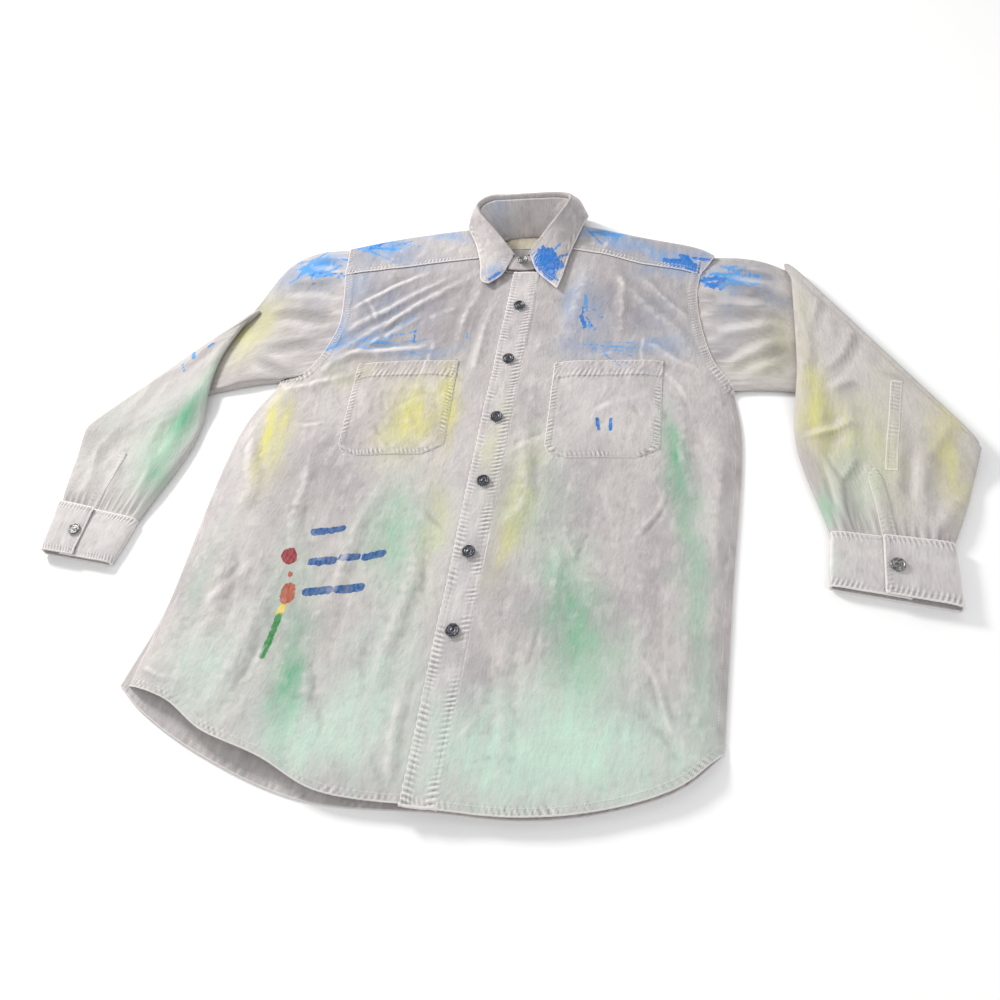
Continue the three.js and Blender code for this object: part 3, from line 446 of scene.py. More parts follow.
RIGHT_SLEEVE_SPLASH = [
    (-318, 338, -296, 344, 3.2, SKY), (-330, 318, -306, 328, 2.6, SKY), (-292, 320, -276, 336, 2.4, SKY),
    (-342, 292, -334, 304, 2.2, SKY), (-280, 352, -270, 348, 3.0, SKY),
    *brushed(-350, 318, -262, 344, 26, 22, 2.4, SKY, 321),
    *brushed(-334, 300, -270, 322, 20, 9, 1.6, ROYAL, 322),
]
LEFT_FOREARM_WASH = [
    (430, 60, 90, 160, 0, PALE_AND_HIGHLIGHT, 0.65), (364, 76, 14, 60, 5, YELLOW, 0.65),
    (384, 36, 26, 40, 0, PALE_YELLOW, 0.55), (430, 20, 30, 66, 0, PALE_YELLOW, 0.4),
    (500, 20, 17, 60, 0, YELLOW, 0.55), (372, -58, 14, 30, 0, PALE_GREEN, 0.75),
    (404, -20, 24, 50, 0, PALE_GREEN, 0.25), (455, 150, 30, 60, 0, PALE_YELLOW, 0.15),
    (352, 230, 9, 60, 0, PALE_YELLOW, 0.2),
]
RIGHT_FOREARM_WASH = [
    (-460, 20, 80, 140, 0, PALE_AND_HIGHLIGHT, 0.75), (-404, 44, 16, 46, -6, GREEN, 0.9),
    (-416, -40, 18, 34, 0, GREEN, 0.6), (-430, -10, 26, 62, 0, PALE_GREEN, 0.6),
    (-392, 100, 10, 50, 0, PALE_GREEN, 0.6), (-500, 20, 26, 70, 0, PALE_GREEN, 0.12),
]
RIGHT_FOREARM_SPLASH = [
    (-436, 152, -431, 140, 3.2, SKY), (-444, 130, -438, 118, 2.0, SKY), (-418, 162, -412, 170, 1.8, SKY),
]
LEFT_WING_WASH = [(20, 318, 12, 10, 0, SKY, 0.8)]
LEFT_WING_SPLASH = [
    (20, 322, 44, 316, 8.5, ROYAL), (28, 308, 36, 292, 6.0, ROYAL), (44, 330, 56, 340, 2.2, ROYAL),
    (38, 296, 46, 288, 2.6, ROYAL), (50, 312, 60, 316, 2.6, ROYAL), (14, 326, 24, 334, 5.0, ROYAL),
    (36, 340, 44, 352, 1.8, SKY), *brushed(22, 344, 34, 286, 14, 14, 3.4, ROYAL, 331),
    *brushed(44, 330, 40, 292, 10, 10, 1.5, ROYAL, 332),
]
RIGHT_WING_WASH = [(-38, 304, 14, 12, 0, SKY, 0.5)]
RIGHT_WING_SPLASH = [(-38, 300, -46, 292, 4.0, ROYAL), (-30, 306, -34, 302, 2.4, ROYAL)]


def wash_colours(x, y, listed):
    """Red, green, blue and cover of the soft washes at each point."""
    colour = np.ones(x.shape + (3,)) * 0.8
    cover = np.zeros(x.shape)
    wx, wy = x + 9 * noise(x, y, 30, 71), y + 12 * noise(x, y, 30, 72)
    mottle = 1 + 0.16 * noise(x, y, 18, 73) + 0.22 * noise(x * 2.2, y * 0.35, 11, 74)
    for cx, cy, half_x, half_y, turn, tint, strength in listed:
        a = math.radians(turn)
        dx, dy = wx - cx, wy - cy
        u = (dx * math.cos(a) + dy * math.sin(a)) / half_x
        v = (dy * math.cos(a) - dx * math.sin(a)) / half_y
        here = np.clip(strength * mottle * np.exp(-((u * u + v * v) ** 0.9)), 0, 0.96)
        whole = here + cover * (1 - here)
        share = (here / np.maximum(whole, 1e-6))[..., None]
        colour = np.where(whole[..., None] > 1e-4, np.array(tint) * share + colour * (1 - share), colour)
        cover = whole
    return np.concatenate([colour, cover[..., None]], -1)


SPLASH_SOFT = 9.0


def splash_colours(x, y, listed):
    """Colour of the nearest splash, and a field that is above a half inside it."""
    field = np.full(x.shape, -1e3)
    colour = np.ones(x.shape + (3,)) * np.array(ROYAL)
    for x0, y0, x1, y1, radius, tint in listed:
        length = max(math.hypot(x1 - x0, y1 - y0), 1e-6)
        wx, wy = (x1 - x0) / length, (y1 - y0) / length
        t = np.clip((x - x0) * wx + (y - y0) * wy, 0, length)
        here = radius - np.hypot(x - x0 - t * wx, y - y0 - t * wy)
        closer = here > field
        field = np.where(closer, here, field)
        colour = np.where(closer[..., None], np.array(tint), colour)
    return np.concatenate([colour, np.clip(0.5 + field / SPLASH_SOFT, 0, 1)[..., None]], -1)


# ---------------------------------------------------------------- meshes


def quads(rows, columns, start=0, wraps=False, flip=False):
    """The faces of a grid of points, closed round when it wraps."""
    index = start + np.arange(rows * columns).reshape(rows, columns)
    if wraps:
        index = np.concatenate([index, index[:, :1]], 1)
    faces = np.stack([index[:-1, :-1], index[:-1, 1:], index[1:, 1:], index[1:, :-1]], -1).reshape(-1, 4)
    return faces[:, ::-1] if flip else faces


def wear_and_shade_of(grid, edge=0.5):
    """How far each point of a grid stands out of its neighbourhood, in millimetres: crests and edge rows
    painted paler as rubbed wear and painted highlight, hollows darker as painted shade.
    """
    wide = grid
    for _ in range(2):
        padded = np.pad(wide, ((1, 1), (1, 1), (0, 0)), mode="edge")
        wide = sum(padded[1 + i:padded.shape[0] - 1 + i, 1 + j:padded.shape[1] - 1 + j]
                   for i in (-1, 0, 1) for j in (-1, 0, 1)) / 9
    n = normals(grid)
    n *= -1 if n[..., 2].mean() < 0 else 1
    out = ((grid - wide) * n).sum(-1)
    out[:2], out[-2:], out[:, :2], out[:, -2:] = edge, edge, edge, edge
    return out


def piece(name, points, faces, material, bodies, replaces=(), cloth=None, wash=None, splash=None,
          wear_and_shade=None):
    """A mesh piece in the frame, with its cloth coordinates and its paint as attributes."""
    mesh = bpy.data.meshes.new(name)
    points = np.asarray(points, float)
    mesh.vertices.add(len(points))
    mesh.vertices.foreach_set("co", to_row(points).astype(np.float32).ravel())
    mesh.loops.add(faces.size)
    mesh.loops.foreach_set("vertex_index", np.ascontiguousarray(faces).astype(np.int32).ravel())
    mesh.polygons.add(len(faces))
    mesh.polygons.foreach_set("loop_start", np.arange(0, faces.size, faces.shape[1], dtype=np.int32))
    mesh.update(calc_edges=True)
    mesh.shade_smooth()
    cloth = points if cloth is None else cloth
    mesh.attributes.new("cloth", "FLOAT_VECTOR", "POINT").data.foreach_set(
        "vector", (np.asarray(cloth) * MM).astype(np.float32).ravel())
    for label, values in (("wash", wash), ("splash", splash)):
        if values is not None:
            mesh.attributes.new(label, "FLOAT_COLOR", "POINT").data.foreach_set(
                "color", np.asarray(values).astype(np.float32).ravel())
    if wear_and_shade is not None:
        mesh.attributes.new("wear_and_shade", "FLOAT", "POINT").data.foreach_set("value", wear_and_shade.astype(np.float32).ravel())
    mesh.materials.append(material)
    holder = bpy.data.objects.new(name, mesh)
    bpy.context.scene.collection.objects.link(holder)
    if replaces:
        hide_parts(*replaces)
    if len(bodies) == 1:
        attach(holder, bodies[0])
    else:
        first, second, start, end = bodies
        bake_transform(holder, first, second, start=tuple(to_row(start)), end=tuple(to_row(end)))
    return holder


def shell(grid, thickness, rim=0.45, flip=0):
    """A closed sheet under a grid of points: its points, its faces, and which grid node each point is.
    flip is the sign that turns the grid's normals outwards; without it they are turned up."""
    rows, columns = grid.shape[:2]
    n = normals(grid)
    n = n * (flip or (-1 if n[..., 2].mean() < 0 else 1))
    thick = np.asarray(thickness, float) * np.ones((rows, columns))
    lower = grid - n * thick[..., None]
    node = np.arange(rows * columns).reshape(rows, columns)
    loop = np.concatenate([node[0, :-1], node[:-1, -1], node[-1, :0:-1], node[:0:-1, 0]])
    flat_upper, flat_lower = grid.reshape(-1, 3), lower.reshape(-1, 3)
    middle = (flat_upper[loop] + flat_lower[loop]) / 2
    tangent = np.roll(middle, -1, 0) - np.roll(middle, 1, 0)
    out = np.cross(tangent, n.reshape(-1, 3)[loop])
    out /= np.maximum(np.linalg.norm(out, axis=1, keepdims=True), 1e-9)
    centre = flat_upper.mean(0)
    out *= np.sign(((middle - centre) * out).sum())
    middle = middle + out * rim * thick.reshape(-1)[loop][:, None]
    points = np.vstack([flat_upper, flat_lower, middle])
    count = rows * columns
    around = np.arange(len(loop))
    following = np.roll(around, -1)
    rim_around, rim_following = 2 * count + around, 2 * count + following
    rims = [
        np.stack([loop[around], loop[following], rim_following, rim_around], -1)[:, ::-1],
        np.stack([rim_around, rim_following, count + loop[following], count + loop[around]], -1)[:, ::-1],
    ]
    upper_faces = quads(rows, columns)
    faces = np.vstack([upper_faces, quads(rows, columns, count, flip=True), *rims])
    first = points[upper_faces[len(upper_faces) // 2]]
    if np.cross(first[1] - first[0], first[2] - first[0]) @ n[rows // 2, columns // 2] < 0:
        faces = faces[:, ::-1]
    return points, faces, np.concatenate([node.ravel(), node.ravel(), loop])


def cloth_piece(name, grid, thickness, material, bodies, replaces=(), washes=(), splashes=()):
    """A closed sheet of cloth, painted by its place in plan. Paint on the back is faint."""
    points, faces, source = shell(grid, thickness)
    flat = grid.reshape(-1, 3)
    x, y = flat[:, 0], flat[:, 1]
    wash = wash_colours(x, y, washes)[source]
    splash = splash_colours(x, y, splashes)[source]
    count = len(flat)
    wash[count:2 * count, 3] *= 0.35
    splash[count:2 * count, 3] = 0
    return piece(name, points, faces, material, bodies, replaces, flat[source], wash, splash,
                 wear_and_shade_of(grid).ravel()[source])


# ---------------------------------------------------------------- materials


def new_node(tree, kind, inputs=(), **values):
    """A shader node with its settings, and the constants of its input sockets."""
    node = tree.nodes.new(kind)
    for key, value in values.items():
        setattr(node, key, value)
    set_inputs(node, inputs)
    return node


def set_inputs(node, inputs):
    for key, value in dict(inputs).items():
        node.inputs[key].default_value = value


def new_material(name):
    material = bpy.data.materials.new(name)
    material.use_nodes = True
    tree = material.node_tree
    return material, tree, tree.links.new, tree.nodes["Principled BSDF"]


def cloth_material(name, colour, stained=True, weave=0.9):
    """Washed cotton twill: weave, slubs, colour drift, soft paint washes, crisp splashes, paler crests (rubbed
    wear and painted highlight) and painted shade in hollows.
    """
    material, tree, link, shader = new_material(name)
    place = new_node(tree, "ShaderNodeAttribute", attribute_name="cloth")

    def grain(scale, detail, stretch=(1, 1, 1)):
        mapping = new_node(tree, "ShaderNodeMapping", {"Scale": stretch})
        link(place.outputs["Vector"], mapping.inputs["Vector"])
        node = new_node(tree, "ShaderNodeTexNoise", {"Scale": scale, "Detail": detail})
        link(mapping.outputs["Vector"], node.inputs["Vector"])
        return node.outputs["Fac"]

    def mixed(factor, a, b):
        node = new_node(tree, "ShaderNodeMix", data_type="RGBA", blend_type="MIX")
        for slot_name, value in (("Factor", factor), ("A", a), ("B", b)):
            target = next(s for s in node.inputs if s.name == slot_name and s.enabled)
            if hasattr(value, "is_output"):
                link(value, target)
            else:
                target.default_value = value
        return next(s for s in node.outputs if s.enabled)

    def ramp(value, low, high, out_low=0.0, out_high=1.0):
        limits = {"From Min": low, "From Max": high, "To Min": out_low, "To Max": out_high}
        node = new_node(tree, "ShaderNodeMapRange", limits)
        link(value, node.inputs["Value"])
        return node.outputs["Result"]

    def maths(kind, a, b):
        node = new_node(tree, "ShaderNodeMath", operation=kind)
        for target, value in zip(node.inputs, (a, b)):
            if hasattr(value, "is_output"):
                link(value, target)
            else:
                target.default_value = value
        return node.outputs[0]

    def toned(factor, most=1.0):
        return tuple(min(c * factor, most) for c in colour) + (1,)

    dark = tuple(c * k for c, k in zip(colour, (0.80, 0.78, 0.82))) + (1,)
    base = mixed(ramp(grain(13, 5), 0.42, 0.66), colour + (1,), dark)
    base = mixed(ramp(grain(150, 4, (1, 0.4, 1)), 0.5, 0.72, 0, 0.5), base, toned(0.62))
    base = mixed(ramp(grain(95, 2, (1, 0.35, 1)), 0.52, 0.72, 0, 0.55), base, toned(1.22, 0.95))
    if stained:
        wash = new_node(tree, "ShaderNodeAttribute", attribute_name="wash")
        streaks = ramp(grain(120, 3, (1, 0.3, 1)), 0.3, 0.7, 0.7, 1.1)
        base = mixed(maths("MULTIPLY", wash.outputs["Alpha"], streaks), base, wash.outputs["Color"])
        splash = new_node(tree, "ShaderNodeAttribute", attribute_name="splash")
        ragged = maths("ADD", splash.outputs["Alpha"], ramp(grain(210, 3), 0.2, 0.8, -0.16, 0.16))
        inside = ramp(ragged, 0.49, 0.56)
        thin = ramp(grain(330, 2, (1, 0.4, 1)), 0.36, 0.62, 0.82, 1.0)
        base = mixed(maths("MULTIPLY", inside, thin), base, splash.outputs["Color"])
    # Crests paler, as rubbed wear and painted highlight; hollows darker, as painted shade.
    wear_and_shade = new_node(tree, "ShaderNodeAttribute", attribute_name="wear_and_shade")
    rub_and_shade = ramp(wear_and_shade.outputs["Fac"], -0.6, 0.6, 0.0, 1.0)
    base = mixed(ramp(rub_and_shade, 0.12, 0.46, 0.6, 0.0), base, toned(0.42))
    base = mixed(ramp(rub_and_shade, 0.56, 0.88, 0.0, 0.7), base, toned(1.45, 0.92))
    link(base, shader.inputs["Base Color"])
    set_inputs(shader, {"Roughness": 0.88, "Specular IOR Level": 0.25})
    set_inputs(shader, {"Sheen Weight": 0.12, "Sheen Roughness": 0.6})

    twill_map = new_node(tree, "ShaderNodeMapping", {"Rotation": (0, 0, math.radians(58))})
    link(place.outputs["Vector"], twill_map.inputs["Vector"])
    twill = new_node(tree, "ShaderNodeTexWave", {"Scale": 320, "Distortion": 1.6, "Detail Scale": 1.4},
                     wave_type="BANDS", bands_direction="X")
    link(twill_map.outputs["Vector"], twill.inputs["Vector"])
    fine = new_node(tree, "ShaderNodeBump", {"Strength": weave * 0.6, "Distance": 0.00025})
    link(twill.outputs["Fac"], fine.inputs["Height"])
    slub = new_node(tree, "ShaderNodeBump", {"Strength": 0.8, "Distance": 0.0013})
    link(grain(300, 4, (1, 0.5, 1)), slub.inputs["Height"])
    link(fine.outputs["Normal"], slub.inputs["Normal"])
    link(slub.outputs["Normal"], shader.inputs["Normal"])
    return material


def metal_material(name, colour, roughness, tarnish):
    """Cast or stamped metal with tarnish in its hollows and fine scratches."""
    material, tree, link, shader = new_material(name)
    place = new_node(tree, "ShaderNodeTexCoord")
    blotch = new_node(tree, "ShaderNodeTexNoise", {"Scale": 380, "Detail": 5})
    link(place.outputs["Object"], blotch.inputs["Vector"])
    tone = new_node(tree, "ShaderNodeValToRGB")
    for stop, position, shade in zip(tone.color_ramp.elements, (0.38, 0.66), (tarnish, colour)):
        stop.position = position
        stop.color = shade + (1,)
    link(blotch.outputs["Fac"], tone.inputs["Fac"])
    link(tone.outputs["Color"], shader.inputs["Base Color"])
    set_inputs(shader, {"Metallic": 0.9, "Roughness": roughness})
    scratch = new_node(tree, "ShaderNodeTexNoise", {"Scale": 2600})
    link(place.outputs["Object"], scratch.inputs["Vector"])
    bump = new_node(tree, "ShaderNodeBump", {"Strength": 0.3, "Distance": 0.0001})
    link(scratch.outputs["Fac"], bump.inputs["Height"])
    link(bump.outputs["Normal"], shader.inputs["Normal"])
    return material


cloth = cloth_material("washed_twill", (0.53, 0.495, 0.485))
# A paler copy of the twill, for the placket and the cuffs.
pale_cloth = cloth_material("paler_twill", (0.58, 0.55, 0.54))
lining = cloth_material("washed_twill_inside", (0.45, 0.435, 0.42), stained=False)
thread = cloth_material("sewing_thread", (0.80, 0.78, 0.77), stained=False, weave=0.4)
tape = cloth_material("woven_tape", (0.62, 0.57, 0.44), stained=False, weave=1.4)
gunmetal = metal_material("gunmetal", (0.16, 0.17, 0.19), 0.38, (0.035, 0.035, 0.04))
pewter = metal_material("pewter", (0.42, 0.41, 0.40), 0.42, (0.10, 0.10, 0.10))

# ---------------------------------------------------------------- the shirt's outlines, as the frame has them

PLY, LOFT = 1.4, 11.0
NECK_X, NECK_Y, NECK_HALF_X, NECK_HALF_Y, NECK_GROW = -8.0, 353.0, 58.0, 41.0, 3.0
PLACKET_X, PLACKET_HALF, PLACKET_TOP, PLACKET_BOTTOM = 1.4, 18.6, 308.0, -414.0
PLACKET_ROWS = (-12.4, 12.4)
BUTTON_PITCH = 95.0
HEM_CORNER = {"left": (275, -331), "right": (-343, -319)}
UNDERARM = {"left": (277, 108), "right": (-303, 115)}
SIDE_SEAM = {
    "left": [HEM_CORNER["left"], (280, -172), (287, 40), UNDERARM["left"]],
    "right": [HEM_CORNER["right"], (-337, -222), (-331, 40), UNDERARM["right"]],
}
ARMHOLE = {
    "left": [UNDERARM["left"], (250, 149), (231, 217), (225, 271), (228, 306)],
    "right": [UNDERARM["right"], (-266, 130), (-243, 205), (-248, 260), (-260, 317)],
}
FRONT_HEM = {
    "left": [(20, -414), (97, -411), (167, -397), (236, -368), HEM_CORNER["left"]],
    "right": [(14, -411), (-102, -408), (-166, -383), (-236, -363), (-286, -335), HEM_CORNER["right"]],
}
YOKE_SEAM = {
    "left": [(53, 360), (104, 347), (152, 328), (211, 313), (228, 306)],
    "right": [(-69, 344), (-140, 334), (-212, 323), (-260, 317)],
}
SHOULDER_LINE = {
    "left": [(53, 414), (148, 382), (229, 355), (247, 341)],
    "right": [(-69, 411), (-185, 392), (-267, 371)],
}
YOKE_BACK_Y, YOKE_BACK_EDGE = 300.0, {"left": 225.0, "right": -252.0}
YOKE_OVERLAP = 3.0
BACK_HEM = [
    (-354, -319), (-321, -343), (-236, -383), (-118, -416), (15, -413), (97, -411),
    (167, -397), (236, -368), HEM_CORNER["left"],
]
SIGN = {"left": 1.0, "right": -1.0}
WAY = np.linspace(0, 1, 160)


def neck_at(angle, grow=0.0):
    x = NECK_X + (NECK_HALF_X + grow) * np.cos(angle)
    y = NECK_Y + (NECK_HALF_Y + grow) * np.sin(angle)
    return np.stack([x, y], -1)


armhole_line = {side: curve(ARMHOLE[side])(WAY) for side in SIGN}
side_line = {side: curve(SIDE_SEAM[side])(WAY) for side in SIGN}
outer_line = {side: np.vstack([side_line[side], armhole_line[side][1:]]) for side in SIGN}
yoke_line = {side: curve(YOKE_SEAM[side])(WAY) for side in SIGN}
hem_line = {side: curve(FRONT_HEM[side])(WAY) for side in SIGN}

# Folds of the front: x0, y0, x1, y1, width, height. Above zero stands up from the cloth
FOLDS = {
    "right": [
        (-262, 132, -60, 318, 9, 3.4), (-250, 182, -92, 312, 8, 2.6), (-272, 110, -120, 232, 8, 2.6),
        (-246, 232, -130, 322, 7, 2.2), (-70, 150, -62, 320, 8, 1.8), (-222, 160, -88, 176, 7, 2.4),
        (-300, 92, -170, 128, 7, 1.8), (-316, 40, -280, -120, 10, 1.8), (-44, 100, -30, 300, 7, 1.6),
        (-230, 10, -210, -160, 9, 1.5), (-300, -120, -262, -300, 12, 2.2), (-128, -40, -150, -260, 10, 1.4),
        (-60, -60, -72, -330, 10, 1.5), (-215, -200, -236, -350, 11, 2.0), (-30, -250, -44, -400, 8, 1.4),
    ],
    "left": [
        (250, 150, 96, 318, 9, 2.4), (242, 192, 150, 300, 7, 1.8), (262, 120, 150, 190, 8, 2.0),
        (72, 180, 84, 330, 9, 2.0), (60, 160, 210, 176, 10, 0.7), (206, 86, 236, -60, 9, 1.6),
        (262, 60, 258, -160, 10, 1.5), (40, 70, 48, -90, 9, 1.4), (112, -30, 96, -250, 12, 1.6),
        (178, -60, 196, -300, 12, 1.6), (236, -120, 230, -320, 10, 1.4), (60, -200, 70, -390, 9, 1.3),
        (140, 196, 120, 340, 8, 1.8),
    ],
}


def front_height(x, y, side):
    """The height of a front's upper face anywhere in plan, with its folds."""
    place = np.stack([x, y], -1)
    edge, _, turned = nearest(place, outer_line[side])
    edge = np.where(turned * SIGN[side] > 0, edge, 0)
    on_armhole = smooth((y - UNDERARM[side][1] + 14) / 34)
    rim = 1.6 + (10.2 - 1.6) * on_armhole
    rise = 1 - (1 - np.clip(edge / 38, 0, 1)) ** 2.6
    height = rim + (LOFT + PLY - rim) * rise
    near_placket = 1 - smooth((x - PLACKET_X - PLACKET_HALF) / 40)
    if side == "left":
        height = height + 2.7 * near_placket
        free = 1 - 0.7 * (1 - smooth((x - PLACKET_X - PLACKET_HALF) / 14))
    else:
        mouth = 1 - smooth(np.abs(x + 225) / 150)
        hem_gap, _, _ = nearest(place, hem_line[side])
        height = height + 7 * mouth * (1 - smooth(hem_gap / 120))
        free = smooth((PLACKET_X - PLACKET_HALF - x) / 26) * 0.9 + 0.1
    seam_gap, _, _ = nearest(place, yoke_line[side])
    relief = folds(x, y, FOLDS[side]) + crumple(x, y, 11 if side == "left" else 12)
    calm = (0.18 + 0.82 * smooth(edge / 24)) * (0.35 + 0.65 * smooth(seam_gap / 20)) * free
    return np.maximum(height + relief * calm, 1.5)


def groove(gap, width, depth):
    """The dent that a row of stitches pulls into the cloth."""
    return depth * np.exp(-((gap / width) ** 2))


def offset_line(line, distance):
    """A plan polyline moved to the left of its direction."""
    way = np.gradient(line[:, :2], axis=0)
    way /= np.maximum(np.linalg.norm(way, axis=1, keepdims=True), 1e-9)
    return line[:, :2] + distance * np.stack([-way[:, 1], way[:, 0]], -1)


stitch_rows = {}


def add_stitches(target, line):
    stitch_rows.setdefault(target, []).append(np.asarray(line, float))


# ---------------------------------------------------------------- body panels


def front_grid(side):
    inner_x = PLACKET_X + PLACKET_HALF - 1.0 if side == "left" else 16.0
    start = -math.acos((inner_x - NECK_X) / (NECK_HALF_X + NECK_GROW))
    stop = 0.16 if side == "left" else 0.206 - math.pi

    def neck(t):
        return neck_at(start + (stop - start) * np.asarray(t, float), NECK_GROW)

    hem = np.array(FRONT_HEM[side], float)
    hem[0, 0] = inner_x
    seam = np.array(YOKE_SEAM[side], float)
    seam[0] = neck(np.array([1.0]))[0]
    front_edge = curve([hem[0], (inner_x, neck(np.array([0.0]))[0, 1])])
    inner = chain([front_edge, neck], [0.88, 0.12])
    outer = chain([curve(SIDE_SEAM[side]), curve(ARMHOLE[side])], [0.66, 0.34])
    us, vs = spread(310, 2.6), spread(740, 2.7)
    grid = coons(curve(hem), curve(seam), inner, outer, us, vs)
    x, y = grid[..., 0], grid[..., 1]
    arm_gap, arm_run, _ = nearest(grid, armhole_line[side])
    out = 3.4 * np.exp(-((arm_gap / 9) ** 2)) * (y > UNDERARM[side][1] + 4)
    x = x + SIGN[side] * out
    z = front_height(x, y, side)
    hem_gap, hem_run, _ = nearest(grid, hem_line[side])
    z += pucker(hem_gap - 4, hem_run, 41, 9.5, 5.5, 0.75) + 0.5 * smooth((9 - hem_gap) / 2)
    z += pucker(arm_gap - 5, arm_run, 43, 7.5, 5.5, 0.85)
    z += 0.6 * smooth((10 - arm_gap) / 2) * (y > UNDERARM[side][1])
    return np.stack([x, y, np.maximum(z, 1.3)], -1)


def hem_stitch(side):
    line = curve(FRONT_HEM[side])(np.linspace(0.02, 0.985, 300))
    return offset_line(line, 7.0 * SIGN[side])


def make_fronts():
    for side in ("left", "right"):
        grid = front_grid(side)
        nodes = ["left_front"] if side == "left" else ["right_front", "button_band"]
        front = cloth_piece(f"{side}_front_cloth", grid, 0.9, cloth, ["shirt"], nodes, BODY_WASH, BODY_SPLASH)
        name = f"{side}_front_cloth"
        add_stitches(name, hem_stitch(side))
        for gap in (2.2, 8.2):
            add_stitches(name, offset_line(armhole_line[side][6:], gap * SIGN[side]))
        run = side_line[side][8:-6]
        add_stitches(name, offset_line(run, 7.5 * SIGN[side]))


def make_back():
    hem = curve(BACK_HEM)
    right_top, left_top = (YOKE_BACK_EDGE["right"], YOKE_BACK_Y + 4), (YOKE_BACK_EDGE["left"], YOKE_BACK_Y + 4)
    right_side = curve([BACK_HEM[0], *SIDE_SEAM["right"][1:]])
    right = chain([right_side, curve([*ARMHOLE["right"][:4], right_top])], [0.68, 0.32])
    left = chain([curve(SIDE_SEAM["left"]), curve([*ARMHOLE["left"][:4], left_top])], [0.68, 0.32])
    us, vs = spread(600, 3.4), spread(720, 3.6)
    grid = coons(hem, curve([right_top, left_top]), right, left, us, vs)
    x, y = grid[..., 0], grid[..., 1]
    line = hem(WAY)
    gap, run, _ = nearest(grid, line)
    z = 1.15 + 0.18 * crumple(x, y, 21, count=50) * smooth(gap / 20)
    lift = (1 - smooth(np.abs(x + 250) / 170)) * (1 - smooth(gap / 90))
    z += 0.9 * lift + pucker(gap - 4, run, 51, 9.5, 5.5, 0.4)
    grid = np.stack([x, y, np.clip(z, 0.95, 4)], -1)
    back = cloth_piece("back_panel_cloth", grid, 0.9, cloth, ["shirt"], ["back_panel"],
                       [(-40, -200, 200, 160, 0, MINT, 0.25)], ())
    add_stitches("back_panel_cloth", offset_line(line[2:60], 7.0))


# ---------------------------------------------------------------- yoke


def make_yoke():
    for side in ("left", "right"):
        sign = SIGN[side]
        neck_x = NECK_X + sign * (NECK_HALF_X + NECK_GROW)
        ridge = np.array(SHOULDER_LINE[side], float)
        ridge[0, 0] = neck_x
        ridge[-1, 0] += 1.5 * sign
        seam = np.array(YOKE_SEAM[side], float)
        seam[0] = (neck_x, seam[0, 1])
        qs = spread(200, 2.6)
        back = curve([(neck_x, YOKE_BACK_Y), (YOKE_BACK_EDGE[side], YOKE_BACK_Y)])(qs)
        crest, front = curve(ridge)(qs), curve(seam)(qs)
        front[:, 1] -= YOKE_OVERLAP
        front[:, 0] += sign * 3.2 * smooth((qs - 0.9) / 0.1)
        radius, rise = 6.3, 6.45
        middle = crest - np.array([0, radius])
        columns = [np.column_stack([back + (middle - back) * t, np.full(len(qs), 0.95)])
                   for t in np.linspace(0, 1, 22)[:-1]]
        for angle in np.linspace(-90, 90, 17):
            a = math.radians(angle)
            columns.append(np.column_stack([middle + np.array([0, radius * math.cos(a)]),
                                            np.full(len(qs), rise + 0.45 + rise * math.sin(a))]))
        tops = np.concatenate([np.linspace(0, 0.8, 16)[1:], np.linspace(0.8, 1, 9)[1:]])
        for t in tops:
            flat = middle + (front - middle) * t
            under = front_height(flat[:, 0], flat[:, 1], side) + 1.25
            sunk = smooth(t * 1.4)
            columns.append(np.column_stack([flat, (2 * rise + 0.45) * (1 - sunk) + under * sunk]))
        grid = np.stack(columns, 1)
        x, y = grid[..., 0], grid[..., 1]
        upper = smooth((np.arange(grid.shape[1]) - 30) / 10)[None, :]
        line = curve(seam)(WAY) - np.array([0, YOKE_OVERLAP])
        gap, run, _ = nearest(grid, line)
        relief = 0.5 * crumple(x, y, 31 if side == "left" else 32, lean=20) * smooth(gap / 12)
        relief += pucker(gap - 5, run, 33, 7.5, 5.5, 0.9) + 0.4 * smooth((9 - gap) / 2)
        end_gap = (1 - qs)[:, None] * 200
        relief += pucker(end_gap - 5, y, 35, 7.5, 5.5, 0.7) * (end_gap < 14)
        grid[..., 2] += relief * upper
        name = f"{side}_yoke_cloth"
        yoke = cloth_piece(name, grid, 0.9, cloth, ["shirt"], ["yoke_outer"], BODY_WASH, YOKE_SPLASH)
        for inset in (2.0, 8.0):
            row = line[::-1] + np.array([0, inset])
            add_stitches(name, row[4:-8])
        tip = np.linspace(front[-1] + (0, 2), middle[-1], 40)
        for inset in (2.2, 8.2):
            add_stitches(name, tip - np.array([sign * inset, 0]))
    u, v = np.meshgrid(np.linspace(0, 1, 60), np.linspace(0, 1, 46))
    half, neck_top = NECK_HALF_X + NECK_GROW + 4, NECK_Y + NECK_HALF_Y
    for name, top, nodes, material, lift in (
        ("back_yoke_cloth", neck_top + 2, [], cloth, 0.0),
        ("back_yoke_lining_cloth", neck_top + 1, ["yoke_lining"], lining, 1.8),
    ):
        x = NECK_X + half * (2 * u - 1)
        y = YOKE_BACK_Y + (top - YOKE_BACK_Y) * v
        z = 1.2 + lift + 0.35 * crumple(x, y, 37, box=(-80, 60, 290, 400), count=26) * (lift > 0)
        grid = np.stack([x, y, np.maximum(z, 0.95 + lift)], -1)
        sheet = cloth_piece(name, grid, 0.7, material, ["shirt"], nodes)


# ---------------------------------------------------------------- placket and pockets


